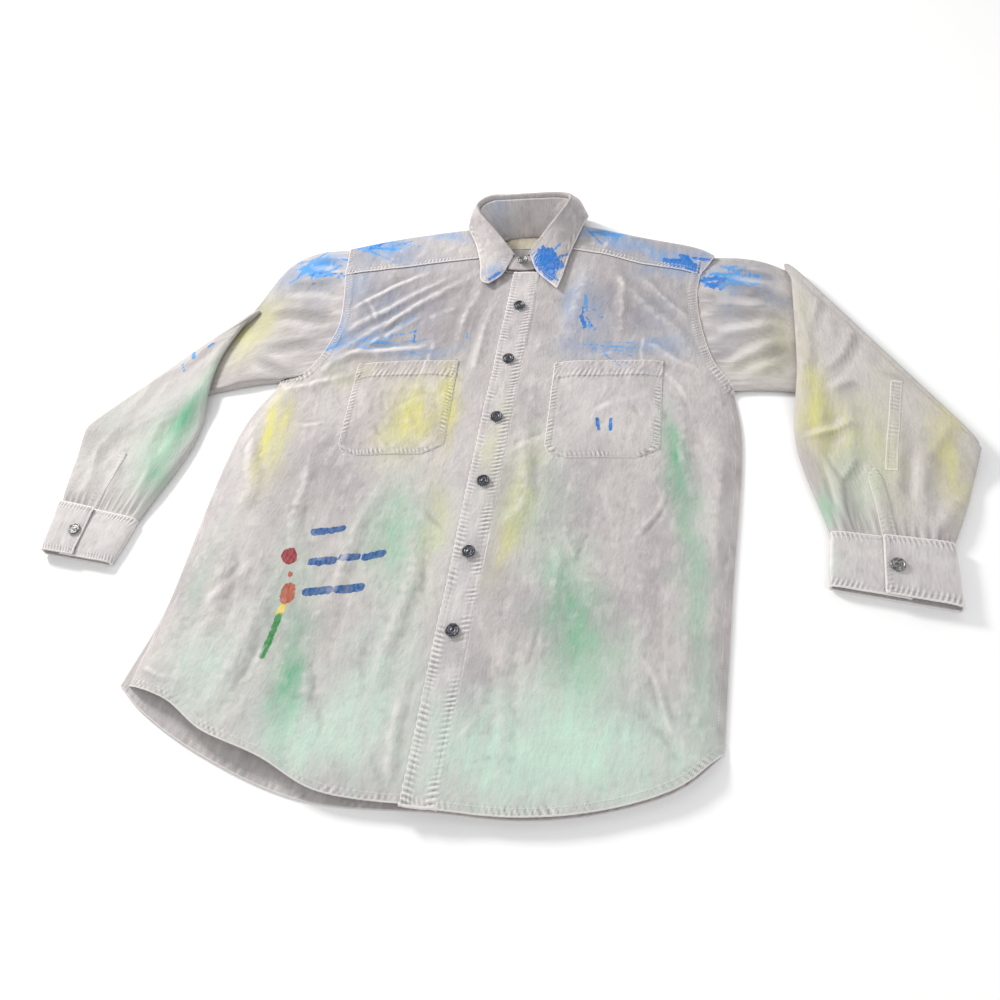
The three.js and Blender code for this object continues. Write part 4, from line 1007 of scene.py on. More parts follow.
def make_placket():
    us = np.concatenate([np.linspace(-1, -0.86, 6), np.linspace(-0.82, 0.82, 34), np.linspace(0.86, 1, 6)])
    ys = np.arange(PLACKET_BOTTOM, PLACKET_TOP + 1.2, 1.3)
    u, y = np.meshgrid(us, ys)
    off = u * PLACKET_HALF
    rippled = np.sin(2 * np.pi * y / 8.7 + 2 * noise(y, off, 40, 62))
    wave = 0.9 * noise(y, 0 * y, 60, 61) + 0.45 * rippled * np.abs(u) ** 6
    x = PLACKET_X + off + wave
    round_edge = np.sqrt(np.clip(1 - np.abs(u) ** 14, 0, 1))
    z = 14.4 + 2.0 * round_edge
    for k, row in enumerate(PLACKET_ROWS):
        z += pucker(off - row, y + 3 * k, 63 + 2 * k, 8.6, 6.2, 0.9, slant=0.25 * (1 - 2 * k))
        z -= groove(off - row, 1.3, 0.28)
    z += 0.5 * noise(off, y, 12, 67) * (1 - u**4) + 0.9 * noise(off, y, 70, 68)
    end = np.minimum(y - PLACKET_BOTTOM, 30)
    z += pucker(end - 5, off, 69, 7.5, 4, 0.7)
    placket = cloth_piece("placket_cloth", np.stack([x, y, z], -1), 2.2, pale_cloth, ["shirt"],
                          ["placket_outer", "placket_interlining", "placket_facing"], BODY_WASH, BODY_SPLASH)
    down = np.linspace(PLACKET_BOTTOM + 8, PLACKET_TOP - 6, 200)
    for row in PLACKET_ROWS:
        add_stitches("placket_cloth", np.column_stack([np.full(200, PLACKET_X + row), down]))
    add_stitches("placket_cloth", np.column_stack([np.linspace(-15, 18, 20), np.full(20, PLACKET_BOTTOM + 6)]))


POCKET_WIDTH, POCKET_HEIGHT, POCKET_CHAMFER, POCKET_HEM = 133.4, 150.4, 20.0, 25.0
POCKET_ROWS = (2.0, 8.2)
# The middle of the mouth and the turn in radians
POCKETS = {"left": (126.3, 146.4, 0.027), "right": (-130.8, 143.2, 0.052)}


def make_pocket(side):
    cx, top_y, turn = POCKETS[side]

    def placed(a, b):
        return (cx + a * math.cos(turn) - b * math.sin(turn), top_y + a * math.sin(turn) + b * math.cos(turn))

    def sew(corners):
        add_stitches(name, np.stack(placed(*dense(corners).T), -1))

    us, vs = spread(POCKET_WIDTH, 2.0, 0.7, 9), spread(POCKET_HEIGHT, 2.0, 0.7, 9)
    u, down = np.meshgrid(2 * us - 1, POCKET_HEIGHT * (1 - vs))
    from_foot = POCKET_HEIGHT - down
    corner = np.clip(1 - from_foot / POCKET_CHAMFER, 0, 1)
    half = POCKET_WIDTH / 2 - POCKET_CHAMFER * 0.6 * corner**1.5
    wobble = 0.5 * np.sin(2 * np.pi * down / 8.4) * np.abs(u) ** 8 + 0.8 * noise(down, u * 30, 40, 81)
    local_x, local_y = u * half + wobble, -down + 0.8 * noise(u * 60, down, 35, 82)
    x, y = placed(local_x, local_y)
    base = front_height(x, y, side) * 0.65 + (LOFT + PLY) * 0.35
    side_gap = half - np.abs(local_x)
    to_corner = (from_foot + side_gap - POCKET_CHAMFER * 0.7) * 0.75
    at_corner = (from_foot < 30) & (side_gap < 30)
    rim = np.minimum(np.minimum(side_gap, from_foot), np.where(at_corner, to_corner, 99))
    rim = np.maximum(rim, 0)
    puff = np.sqrt(np.clip(1 - u**2, 0, 1)) * smooth(1 - down / POCKET_HEIGHT) * smooth(side_gap / 26)
    z = np.maximum(base, front_height(x, y, side) + 0.1) + 1.6 * np.sqrt(np.clip(rim / 1.4, 0, 1)) + 3.6 * puff
    seed = 83 if side == "left" else 183
    run = np.where(side_gap < from_foot, down, local_x)
    z += pucker(rim - 4.5, run, seed, 8.2, 4.6, 1.0) * (down > 4)
    for row in POCKET_ROWS:
        z -= groove(rim - row, 0.9, 0.3)
    hem_band = smooth((POCKET_HEM + 1 - down) / 2)
    z += 0.8 * hem_band + pucker(down - POCKET_HEM + 3, local_x, seed + 2, 9.0, 7.0, 0.8)
    z += pucker(down - 3, local_x, seed + 4, 10.0, 6.0, 0.5)
    z += 0.55 * crumple(x, y, seed + 6, count=34, box=(cx - 66, cx + 66, top_y - 150, top_y)) * smooth(rim / 12)
    sag = (1 - (2 * us - 1) ** 2)[None, :] * smooth((16 - down) / 16)
    y = y - 2.2 * sag
    name = f"{side}_pocket_cloth"
    pocket = cloth_piece(name, np.stack([x, y, z], -1), 0.9 + 0.8 * hem_band, cloth, ["shirt"],
                         [f"{side}_pocket"], BODY_WASH, BODY_SPLASH)

    for inset in POCKET_ROWS:
        w, foot, c = POCKET_WIDTH / 2 - inset, -POCKET_HEIGHT + inset, POCKET_CHAMFER * 0.7
        sew([(-w, -1), (-w, foot + c + 3), (-w + c * 0.55, foot),
             (w - c * 0.55, foot), (w, foot + c + 3), (w, -1)])
    near, far = (POCKET_WIDTH / 2 - row for row in POCKET_ROWS)
    sew([(-near, -POCKET_HEM), (near, -POCKET_HEM)])
    for end in (-1, 1):
        sew([(end * near, -2), (end * far, -2)])


def dense(corners, step=1.5):
    """Points at about step apart along straight runs."""
    parts = []
    for a, b in zip(np.array(corners[:-1], float), np.array(corners[1:], float)):
        count = max(int(np.linalg.norm(b - a) / step), 2)
        parts.append(np.linspace(a, b, count, endpoint=False))
    return np.vstack([*parts, np.array(corners[-1:], float)])


# ---------------------------------------------------------------- collar

FOLD_STATIONS = [
    (12, 338, 12.5), (-10, 337, 12.5), (-25, 342, 16), (-45, 363, 28.5), (-74, 395, 42), (-75, 410, 46),
    (-62, 420, 49), (-30, 421, 50.5), (10, 421, 51.5), (38, 420, 52), (51, 415, 52),
    (50, 404, 48.5), (31, 377, 36), (14, 352, 25.5), (2, 337, 19.6), (-24, 336, 19.6),
]
SEAM_STATIONS = [
    (-70, 11), (-95, 11), (-120, 11.2), (-165, 11.5), (-212, 8.5), (-232, 6.5), (-243, 5.5), (-258, 5),
    (-282, 5), (-300, 6), (-310, 7), (-322, 8.5), (-350, 12), (-390, 14.5), (-420, 16.6), (-466, 17.6),
]
WING_FOLD = {
    "left": [(2, 335, 23), (26, 371, 37.5), (50, 405, 51)],
    "right": [(-19, 334, 23), (-45, 364, 34.5), (-74, 395, 45.5)],
}
WING_FRONT = {"left": [(16, 307, 20.5), (47, 274, 18.5)], "right": [(-32, 300, 20), (-48, 285, 18.5)]}
WING_EDGE = {
    "left": [(50, 288, 18.5), (57, 343, 18.5), (66, 385, 18.5), (71, 409, 19)],
    "right": [(-58, 291, 18.5), (-66, 326, 18.5), (-80, 367, 18), (-96, 401, 17)],
}
WING_BACK = {"left": (62, 409, 41), "right": (-87, 399, 36)}
BACK_FOLD = [
    (53, 418, 54), (36, 424, 54.3), (0, 425, 53.5), (-34, 425, 52.5), (-64, 425, 51.5), (-79, 412, 48.5),
]
BACK_EDGE = [
    (73, 420, 14), (71, 432, 10), (36, 445, 6), (0, 447, 5.5), (-34, 447, 5.5), (-62, 445, 6), (-92, 430, 10),
    (-98, 413, 14),
]
LEAF_STAND_OFF, LEAF_ROWS = 1.8, (1.9, 7.2)


def by_station(points):
    """A smooth line that passes point i at t = i / (count - 1)."""
    p = np.array(points, float)
    at = curve(p)
    run = np.linspace(0, 1, 4001)
    line = at(run)
    places = [0.0]
    for point in p[1:-1]:
        d = np.linalg.norm(line - point, axis=1)
        d[run <= places[-1]] = 1e9
        places.append(run[np.argmin(d)])
    places.append(1.0)
    shares = np.linspace(0, 1, len(p))
    return lambda t: at(np.interp(t, shares, places))


def make_band():
    ts, shares = np.linspace(0, 1, 210), np.concatenate([np.linspace(0, 0.9, 22), np.linspace(0.93, 1, 5)])
    fold = by_station(FOLD_STATIONS)(ts)
    angles = np.radians(np.interp(ts * 15, np.arange(16), [a for a, _ in SEAM_STATIONS]))
    levels = np.interp(ts * 15, np.arange(16), [z for _, z in SEAM_STATIONS])
    seam = np.column_stack([neck_at(angles), levels])
    grid = seam[:, None] + (fold - seam)[:, None] * (0.95 * shares)[None, :, None]
    n = normals(grid)
    run = np.concatenate([[0], np.cumsum(np.linalg.norm(np.diff(fold, axis=0), axis=1))])[:, None]
    tall = np.linalg.norm(fold - seam, axis=1)[:, None] * shares[None, :]
    whole = np.linalg.norm(fold - seam, axis=1)[:, None]
    relief = pucker(tall - 4, run, 91, 7.0, 4.5, 0.55) + pucker(whole - tall - 9, run, 93, 8.0, 5, 0.5)
    relief += 0.5 * noise(run + 0 * tall, tall, 22, 95) - groove(tall - 4, 1.0, 0.3)
    grid = grid + n * (relief * smooth(run / 12) * smooth((run[-1] - run) / 12) + 1.6)[..., None]
    points, faces, source = shell(grid, 3.2, flip=1)
    flat = grid.reshape(-1, 3)
    sky = wash_colours(flat[:, 0], flat[:, 1], [(-50, 420, 20, 20, 0, SKY, 0.2)])[source]
    none = splash_colours(flat[:, 0], flat[:, 1], ())[source]
    cloth_at = np.stack([run + 0 * tall, tall, 0 * tall], -1).reshape(-1, 3)[source]
    band = piece("collar_band_cloth", points, faces, cloth, ["shirt"],
                 ["collar_band_outer", "collar_band_lining", "collar_band_interlining"], cloth_at, sky, none,
                 wear_and_shade_of(grid, 0).ravel()[source])


def collar_fold():
    """The fold line all round, from the left wing's front to the right wing's, and its way into the neck."""
    left = curve(WING_FOLD["left"])(np.linspace(0, 1, 34))
    back = curve([WING_FOLD["left"][-1], *BACK_FOLD, WING_FOLD["right"][-1]])(np.linspace(0, 1, 70))
    right = curve(WING_FOLD["right"][::-1])(np.linspace(0, 1, 34))
    line = np.vstack([left, back[1:], right[1:]])
    way = np.gradient(line, axis=0)
    inward = np.cross(np.array([0, 0, 1.0]), way)
    inward /= np.linalg.norm(inward, axis=1, keepdims=True)
    for _ in range(6):
        inward[1:-1] = (inward[:-2] + inward[1:-1] + inward[2:]) / 3
    inward /= np.linalg.norm(inward, axis=1, keepdims=True)
    return line, inward, (len(left), len(left) + len(back) - 1)


# How far the leaf's lip lies inside the fold, and how far above it
LIP = [(3.2, -9.0), (3.3, -5.0), (3.1, -2.0), (2.4, 0.4), (1.2, 1.7), (-0.4, 1.9)]


def leaf_grid(line, inward, edge, first, last, rows):
    """The lip inside the band, the roll over the fold, and the leaf down to its edge."""
    lip = [line + inward * deep + np.array([0, 0, up]) for deep, up in LIP]
    start = line - inward * LEAF_STAND_OFF + np.array([0, 0, 1.0])
    us = np.linspace(0, 1, len(line))

    def through_start(t):
        return np.stack([np.interp(t, us, start[:, a]) for a in range(3)], -1)

    body = coons(through_start, edge, first, last, us, rows)
    return np.concatenate([np.stack(lip), body], 0)


def make_collar():
    line, inward, (a, b) = collar_fold()
    top = line - inward * LEAF_STAND_OFF + np.array([0, 0, 1.0])
    rows = spread(60, 1.5, 0.6, 6)
    left_back = curve([top[a - 1], WING_BACK["left"], WING_EDGE["left"][-1]])
    right_back = curve([top[b - 1], WING_BACK["right"], WING_EDGE["right"][-1]])
    parts = {
        "left_collar_wing": (0, a, curve([WING_FRONT["left"][-1], *WING_EDGE["left"]]),
                             curve([top[0], *WING_FRONT["left"]]), left_back),
        "collar_back": (a - 1, b, curve([WING_EDGE["left"][-1], *BACK_EDGE, WING_EDGE["right"][-1]]),
                        left_back, right_back),
        "right_collar_wing": (b - 1, len(line), curve([*WING_EDGE["right"][::-1], WING_FRONT["right"][-1]]),
                              right_back, curve([top[-1], *WING_FRONT["right"]])),
    }
    for name, (start, stop, edge, first, last) in parts.items():
        grid = leaf_grid(line[start:stop], inward[start:stop], edge, first, last, rows)
        n = normals(grid)
        if n[..., 2].mean() < 0:
            n = -n
        rim_line = edge(WAY)
        if name == "left_collar_wing":
            rim_line = np.vstack([first(WAY), edge(WAY)[1:]])
        elif name == "right_collar_wing":
            rim_line = np.vstack([edge(WAY), last(WAY[::-1])[1:]])
        gap, run = distance_3d(grid, rim_line)
        leaf = smooth((np.arange(grid.shape[0]) - 5) / 4)[:, None]
        relief = pucker(gap - 4.5, run, 97, 7.4, 5.5, 0.75)
        relief -= sum(groove(gap - row, 1.0, 0.3) for row in LEAF_ROWS)
        relief += 0.7 * noise(grid[..., 0], grid[..., 1] + grid[..., 2], 24, 99)
        relief += 0.35 * noise(grid[..., 0], grid[..., 1] + grid[..., 2], 9, 100)
        grid = grid + n * (relief * leaf * smooth((gap + 2) / 4))[..., None]
        # Paler crests and rim as rubbed wear and painted highlight, darker hollows as painted shade, on the
        # leaf only.
        rub_and_shade = (wear_and_shade_of(grid, 0) + 0.5 * smooth(2.2 - gap)) * leaf
        side = name.split("_")[0]
        washes = {"left": LEFT_WING_WASH, "right": RIGHT_WING_WASH}.get(side, ())
        splashes = {"left": LEFT_WING_SPLASH, "right": RIGHT_WING_SPLASH}.get(side, ())
        bodies = wing_blend(name) if "wing" in name else ["shirt"]
        points, faces, source = shell(grid, 1.7, flip=1 if np.sign((normals(grid)[..., 2]).mean()) > 0 else -1)
        flat = grid.reshape(-1, 3)
        x, y = flat[:, 0], flat[:, 1]
        made = piece(name + "_cloth", points, faces, cloth, bodies,
                     [name + "_upper", name + "_under"], np.column_stack([x, y + flat[:, 2], 0 * x])[source],
                     wash_colours(x, y, washes)[source], splash_colours(x, y, splashes)[source],
                     rub_and_shade.ravel()[source])
        for inset in LEAF_ROWS:
            keep_stitches_on_leaf(name, grid, n, gap, run, inset)


def distance_3d(grid, line):
    """Distance to a polyline in space, and the run along it."""
    flat = grid.reshape(-1, 3)
    lengths = np.linalg.norm(np.diff(line, axis=0), axis=1)
    starts = np.concatenate([[0], np.cumsum(lengths)])
    best, run = np.full(len(flat), 1e9), np.zeros(len(flat))
    for a, b, length, start in zip(line[:-1], line[1:], lengths, starts):
        if length < 1e-9:
            continue
        way = (b - a) / length
        t = np.clip((flat - a) @ way, 0, length)
        d = np.linalg.norm(flat - a - t[:, None] * way, axis=1)
        closer = d < best
        best, run = np.where(closer, d, best), np.where(closer, start + t, run)
    return best.reshape(grid.shape[:-1]), run.reshape(grid.shape[:-1])


LEAF_PITCH = 3.2
leaf_stitches = {}


def keep_stitches_on_leaf(name, grid, n, gap, run, inset):
    """The point and normal of each stitch of a row that far in from a leaf's edge."""
    found = []
    near = np.abs(gap - inset) < 1.6
    near[:7] = False
    places, ups, runs, gaps = grid[near], n[near], run[near], gap[near]
    for s in np.arange(2, run.max(), LEAF_PITCH):
        close = np.abs(runs - s) < 2.6
        if close.sum() < 2:
            continue
        weight = np.exp(-((runs[close] - s) ** 2)) * np.exp(-(((gaps[close] - inset) / 0.8) ** 2)) + 1e-9
        found.append(((places[close] * weight[:, None]).sum(0) / weight.sum(),
                      (ups[close] * weight[:, None]).sum(0) / weight.sum()))
    leaf_stitches.setdefault(name, []).append(found)


def make_label():
    u, v = np.meshgrid(np.linspace(-1, 1, 40), np.linspace(-1, 1, 24))
    x = NECK_X - 6 + 22 * u
    y = NECK_Y + NECK_HALF_Y - 13 + 12 * v
    z = 4.3 + 0.25 * noise(x, y, 9, 111) + 0.12 * np.sin(x * 1.6)
    points, faces, source = shell(np.stack([x, y, z], -1), 0.5, flip=1)
    label = piece("neck_label_tape", points, faces, tape, ["shirt"], ["neck_label"])


# ---------------------------------------------------------------- sleeves

RAY_START = 90
SLEEVE_HEIGHT, FOLD_Z, FOLD_REACH = 9.2, 9.8, 9.0
SHOULDER_TIP = {"left": (247, 341), "right": (-267, 371)}
ELBOW_FOLD = {"left": [(343, 321), (534, 33)], "right": [(-375, 243), (-544, 29)]}
ELBOW_LOW = {"left": (330, 128), "right": (-359, 113)}
SHOULDER_BULGE = {"left": 8, "right": 42}
UNDERARM_BULGE = {"left": 28, "right": 16}
FOREARM_INNER = {"left": [(347, 150), (345, 28), (376, -86)], "right": [(-396, 150), (-388, 10), (-418, -112)]}
FOREARM_OUTER = {"left": [(514, -40), (494, -96)], "right": [(-542, -30), (-533, -92)]}
CUFF_FOOT = {"left": [(372, -151), (494, -168)], "right": [(-427, -174), (-524, -163)]}
CUFF_SHARE = {"left": 0.52, "right": 0.62}
CUFF_ROW, CUFF_TALL = 4.5, 62
BINDING_WIDTH, BINDING_LENGTH = 14, 86
FELLED_WIDTH, FELLED_LENGTH, FELLED_ROW = 12, 121, 3.4
SLEEVE_FOLDS = {
    "left": [
        (240, 292, 334, 252, 12, 3.0), (232, 236, 340, 222, 15, 4.4), (248, 186, 346, 208, 12, 3.2),
        (268, 126, 340, 186, 9, 2.6), (288, 118, 346, 158, 8, 2.2), (262, 318, 322, 292, 9, 2.4),
    ],
    "right": [
        (-262, 304, -350, 294, 13, 3.0), (-256, 242, -354, 226, 14, 3.4), (-268, 182, -350, 172, 11, 2.8),
        (-292, 128, -352, 158, 9, 2.2), (-266, 338, -328, 352, 9, 2.2),
    ],
}
FOREARM_FOLDS = {
    "left": [
        (374, 18, 394, -26, 4, 2.4), (410, 12, 394, -26, 4, 2.4), (394, -20, 397, -92, 5, 3.4),
        (346, 26, 402, 56, 6, 3.4), (380, 86, 414, 110, 8, 3.0), (470, -104, 505, -44, 8, 2.6),
        (404, -84, 386, 20, 7.6, 3.2), (430, -90, 424, 10, 7.6, 2.7), (392, -80, 372, -10, 5.4, 2.2),
        (470, -96, 476, 20, 7.6, 2.1), (352, 250, 356, 60, 7.6, 2.1), (366, 120, 372, 0, 8.6, 2.2),
        (420, 200, 380, 120, 8.6, 2.5), (384, 260, 360, 190, 7.6, 2.2), (430, 140, 470, 110, 8.6, 1.8),
        (500, 70, 470, -40, 9.7, 1.8), (400, 90, 410, -30, 9.7, 1.8), (456, 60, 446, -60, 8.6, 1.8),
    ],
    "right": [
        (-436, -110, -424, -10, 7.6, 2.7), (-470, -106, -476, 0, 7.6, 2.5), (-500, -98, -512, 10, 7.6, 2.1),
        (-396, 160, -402, 40, 7.6, 2.1), (-410, 180, -450, 120, 8.6, 2.2), (-404, 90, -416, -30, 8.6, 2.1),
        (-460, 130, -500, 40, 9.7, 1.8), (-430, 60, -440, -50, 8.6, 1.8), (-490, 40, -520, -40, 8.6, 1.8),
    ],
}


def forearm_edges(side):
    """The forearm's inner and outer edges, from the elbow's fold down to the cuff."""
    fold_top, fold_low = ELBOW_FOLD[side]
    return curve([fold_top, *FOREARM_INNER[side]]), curve([fold_low, *FOREARM_OUTER[side]])


def ends_at(edges, t):
    return [edge(np.full(1, t))[0] for edge in edges]


def across_fold(side):
    """The flat direction from the fold line back to the body."""
    top, low = (np.array(p, float) for p in ELBOW_FOLD[side])
    way = (low - top) / np.linalg.norm(low - top)
    inward = np.array([way[1], -way[0]])
    return inward * -np.sign(inward[0] * top[0])


def mix(a, b, t):
    return a + (b - a) * t


def sleeve_loop(count=62):
    """Shares of the width and heights from -1 to 1, once round a flattened tube."""
    phi = np.linspace(0, 2 * np.pi, 2 * count, endpoint=False)
    share = 0.5 - 0.5 * np.cos(phi)
    level = np.sign(np.sin(phi)) * np.sqrt(np.clip(1 - np.abs(2 * share - 1) ** 14, 0, 1))
    return share, level


def forearm_lift(side, x, y):
    """How high the forearm's underside lies: on the upper arm near the fold, then on the floor."""
    low, elbow = np.array(ELBOW_FOLD[side][1], float), np.array(ELBOW_LOW[side], float)
    edge = low - elbow
    drop = (elbow[1] - y) * abs(edge[0]) - np.abs(x - elbow[0]) * (elbow[1] - low[1])
    return (SLEEVE_HEIGHT + 1.2) * (1 - smooth((drop / np.hypot(*edge) - 8) / 55))


def make_sleeve(side):
    sign, inward = SIGN[side], across_fold(side)
    share, level = sleeve_loop()
    mouth_line = np.array([SHOULDER_TIP[side], *ARMHOLE[side][::-1]], float)
    mouth_line[:, 0] -= 1.0 * sign
    mouth = curve(mouth_line)(share)
    axis = mix(*(np.array(p, float) for p in ELBOW_FOLD[side]), share[:, None]) + inward * FOLD_REACH
    top_weight = (1 + level) / 2

    upper_t = spread(110, 2.6, 1.2, 6)
    rows = []
    for t in upper_t:
        xy = mix(mouth, axis, t)
        bulge = 4 * t * (1 - t)
        shoulder = SHOULDER_BULGE[side] * (1 - share) ** 3
        xy[:, 1] += bulge * (shoulder + UNDERARM_BULGE[side] * share**3)
        xy[:, 0] += sign * bulge * shoulder * 0.8
        free = smooth((346 - xy[:, 0]) / 36) if side == "left" else smooth((xy[:, 0] + 392) / 36)
        settle = smooth(t / 0.12) * (1 - smooth((t - 0.72) / 0.2))
        puff = 5.5 * free * smooth(t / 0.3) * (1 - smooth((t - 0.5) / 0.4))
        puff = puff * np.sqrt(np.clip(1 - (2 * share - 1) ** 2, 0, 1))
        relief = folds(xy[:, 0], xy[:, 1], SLEEVE_FOLDS[side])
        relief += 0.45 * crumple(xy[:, 0], xy[:, 1], 121, box=(-360, 340, 100, 360), count=80, lean=20)
        run = share * 240
        roping = 0.8 * np.sin(2 * np.pi * run / 8.0 + 2 * noise(run, 0 * run, 20, 123))
        roping = roping * np.exp(-(((t * 110 - 6) / 7) ** 2))
        z = SLEEVE_HEIGHT / 2 * (1 + level) + top_weight * (puff + relief * free * settle + roping * free)
        rows.append(np.column_stack([xy, np.maximum(z, 0.15)]))
    first = len(rows) - 7

    heights = SLEEVE_HEIGHT / 2 * (1 + level)
    for angle in np.linspace(0, np.pi, 17)[1:]:
        radius = FOLD_Z - heights
        xy = axis - inward * (0.92 * radius * math.sin(angle))[:, None]
        rows.append(np.column_stack([xy, FOLD_Z - radius * math.cos(angle)]))

    edges = forearm_edges(side)
    foot = [np.array(p, float) for p in CUFF_FOOT[side]]
    forearm_t = spread(330, 2.8, 2.0, 16)[1:]
    under = (1 - level) / 2
    last = len(rows) + 6
    for t in forearm_t:
        xy = mix(*ends_at(edges, t), share[:, None])
        xy = xy + inward * FOLD_REACH * (1 - smooth(t / 0.09))
        lift = forearm_lift(side, xy[:, 0], xy[:, 1])
        settle = smooth((t - 0.03) / 0.1)
        tall = SLEEVE_HEIGHT + 3.0 * smooth((t - 0.3) / 0.3) * (1 - smooth((t - 0.86) / 0.14))
        relief = folds(xy[:, 0], xy[:, 1], FOREARM_FOLDS[side])
        relief += 0.55 * crumple(xy[:, 0], xy[:, 1], 131 if side == "left" else 132, count=120, lean=75,
                                 box=(340, 540, -120, 320) if side == "left" else (-550, -380, -120, 250))
        gathered = 1.5 * np.sin(2 * np.pi * share * 13 + 2 * noise(share * 100, 0 * share, 22, 133))
        relief += gathered * smooth((t - 0.86) / 0.12) * (1 - smooth((t - 0.985) / 0.015))
        edge_calm = np.sqrt(np.clip(1 - (2 * share - 1) ** 6, 0, 1))
        z = lift + tall / 2 * (1 - level) + under * relief * settle * edge_calm
        rows.append(np.column_stack([xy, np.maximum(z, lift * 0.98 + 0.15)]))
    ends = ends_at(edges, 1.0)
    for deep in (1.5, 4.0, 6.5):
        heads = [end + (f - end) / np.linalg.norm(f - end) * deep for end, f in zip(ends, foot)]
        middle = (heads[0] + heads[1]) / 2
        xy = mix(mix(heads[0], middle, 0.05), mix(heads[1], middle, 0.05), share[:, None])
        z = 2.9 + 5.9 * (1 - level) / 2
        rows.append(np.column_stack([xy, z]))

    grid = np.stack(rows)
    steps = np.linalg.norm(np.diff(grid, axis=0), axis=2).mean(1)
    run = np.concatenate([[0], np.cumsum(steps)])
    around = np.where(level >= 0, share * 190, 400 + share * 190)
    across_cloth, down_cloth = np.meshgrid(around, run)
    flat_cloth = np.stack([across_cloth, down_cloth, 0 * across_cloth], -1)
    forearm = f"{side}_forearm"
    parts = (
        (f"{side}_sleeve_upper_cloth", 0, first + 1, ["shirt"], [f"{side}_sleeve_upper"]),
        (f"{side}_sleeve_fold_cloth", first, last + 1, ["shirt", forearm, (0, 0, 9.3), (0, 0, 10.3)], []),
        (f"{side}_sleeve_forearm_cloth", last, len(rows), [forearm], [f"{side}_sleeve_forearm"]),
    )
    if side == "left":
        washes, splashes = (LEFT_SLEEVE_WASH, LEFT_FOREARM_WASH), (LEFT_SLEEVE_SPLASH, ())
    else:
        washes, splashes = (RIGHT_SLEEVE_WASH, RIGHT_FOREARM_WASH), (RIGHT_SLEEVE_SPLASH, RIGHT_FOREARM_SPLASH)
    for k, (name, start, stop, bodies, nodes) in enumerate(parts):
        some = grid[start:stop]
        x, y = some[..., 0], some[..., 1]
        where = 0 if k == 0 else 1
        wash = wash_colours(x, y, washes[where])
        splash = splash_colours(x, y, splashes[where])
        shown = (top_weight if k == 0 else under)[None, :] if k != 1 else (some[..., 2] > FOLD_Z)
        wash[..., 3] *= np.clip(0.25 + shown, 0, 1)
        splash[..., 3] *= shown > 0.6
        faces = quads(*some.shape[:2], wraps=True, flip=side == "left")
        # The last argument is the folds' rubbed wear and painted shade, scaled down and only on the shown side.
        made = piece(name, some.reshape(-1, 3), faces, cloth, bodies, nodes,
                     flat_cloth[start:stop].reshape(-1, 3), wash.reshape(-1, 4), splash.reshape(-1, 4),
                     0.35 * np.clip(wear_and_shade_of(some, 0), -1, 1) * np.where(shown > 0.5, 1, 0))
    return grid


def cuff_corners(side):
    foot = [np.array(p, float) for p in CUFF_FOOT[side]]
    head = [p + (f - p) / np.linalg.norm(f - p) * 0.8 for p, f in zip(ends_at(forearm_edges(side), 1.0), foot)]
    return head, foot


def make_cuff(side):
    (head, foot), centre = cuff_corners(side), CUFF_SHARE[side]
    width = np.linalg.norm(head[1] - head[0])
    tall, over, turn, half = 11.7, 14.9, 6 / width, 11 / width
    stops = [
        (centre + half, tall - 0.4), (centre, tall), (centre - half, tall), (0.3, tall), (turn * 1.4, tall),
        (0.006, tall * 0.82), (0, tall / 2), (0.006, 1.9), (turn * 1.4, 0.2), (0.35, 0.2), (0.65, 0.2),
        (1 - turn * 1.4, 0.2), (0.994, 1.9), (1, tall / 2), (0.994, over * 0.8), (1 - turn * 1.4, over - 0.6),
        (centre + half + 0.1, over), (centre + half, over), (centre, over), (centre - half, over),
    ]
    line = curve([(s * width, z) for s, z in stops])(spread(310, 1.7, 0.7, 6))
    vs = spread(60, 1.7, 0.6, 6)
    rows = []
    run = np.concatenate([[0], np.cumsum(np.linalg.norm(np.diff(line, axis=0), axis=1))])
    for v in vs:
        start, end = mix(head[0], foot[0], v), mix(head[1], foot[1], v)
        xy = mix(start, end, line[:, :1] / width)
        rows.append(np.column_stack([xy, line[:, 1]]))
    grid = np.stack(rows)
    flip = 1 if side == "left" else -1
    n = normals(grid) * flip
    around, down = np.meshgrid(run, vs * 60)
    near = np.minimum(down, 60 - down)
    relief = pucker(near - 4, around, 141, 7.4, 5, 0.7) - groove(near - CUFF_ROW, 0.9, 0.25)
    relief += 0.6 * noise(around, down, 26, 143) + 0.25 * noise(around, down, 9, 144)
    end_gap = run[-1] - around
    relief += pucker(end_gap - 4, down, 145, 7.4, 4.5, 0.6) * (end_gap < 20)
    calm = smooth(grid[..., 2] / 3.0)
    grid = grid + n * (relief * calm)[..., None]
    grid[..., 2] = np.maximum(grid[..., 2], 0.1)
    points, faces, source = shell(grid, 2.1, flip=flip)
    flat = np.stack([around, down, 0 * down], -1).reshape(-1, 3)
    x, y = grid.reshape(-1, 3)[:, 0], grid.reshape(-1, 3)[:, 1]
    forearm = f"{side}_forearm"
    none = splash_colours(x, y, ())
    cuff = piece(f"{side}_cuff_cloth", points, faces, pale_cloth, [forearm],
                 [f"{side}_cuff_outer", f"{side}_cuff_lining"], flat[source],
                 wash_colours(x, y, [(372, -120, 16, 20, 0, MINT, 0.5)])[source], none[source],
                 wear_and_shade_of(grid).ravel()[source])
    name = f"{side}_cuff_cloth"
    for v in (CUFF_ROW / CUFF_TALL, 1 - CUFF_ROW / CUFF_TALL):
        start, end = mix(head[0], foot[0], v), mix(head[1], foot[1], v)
        add_stitches(name, mix(start, end, np.linspace(0.03, 0.97, 90)[:, None]))
    share = centre - half + CUFF_ROW / width
    add_stitches(name, np.linspace(mix(*head, share), mix(*foot, share), 50)[3:-3])


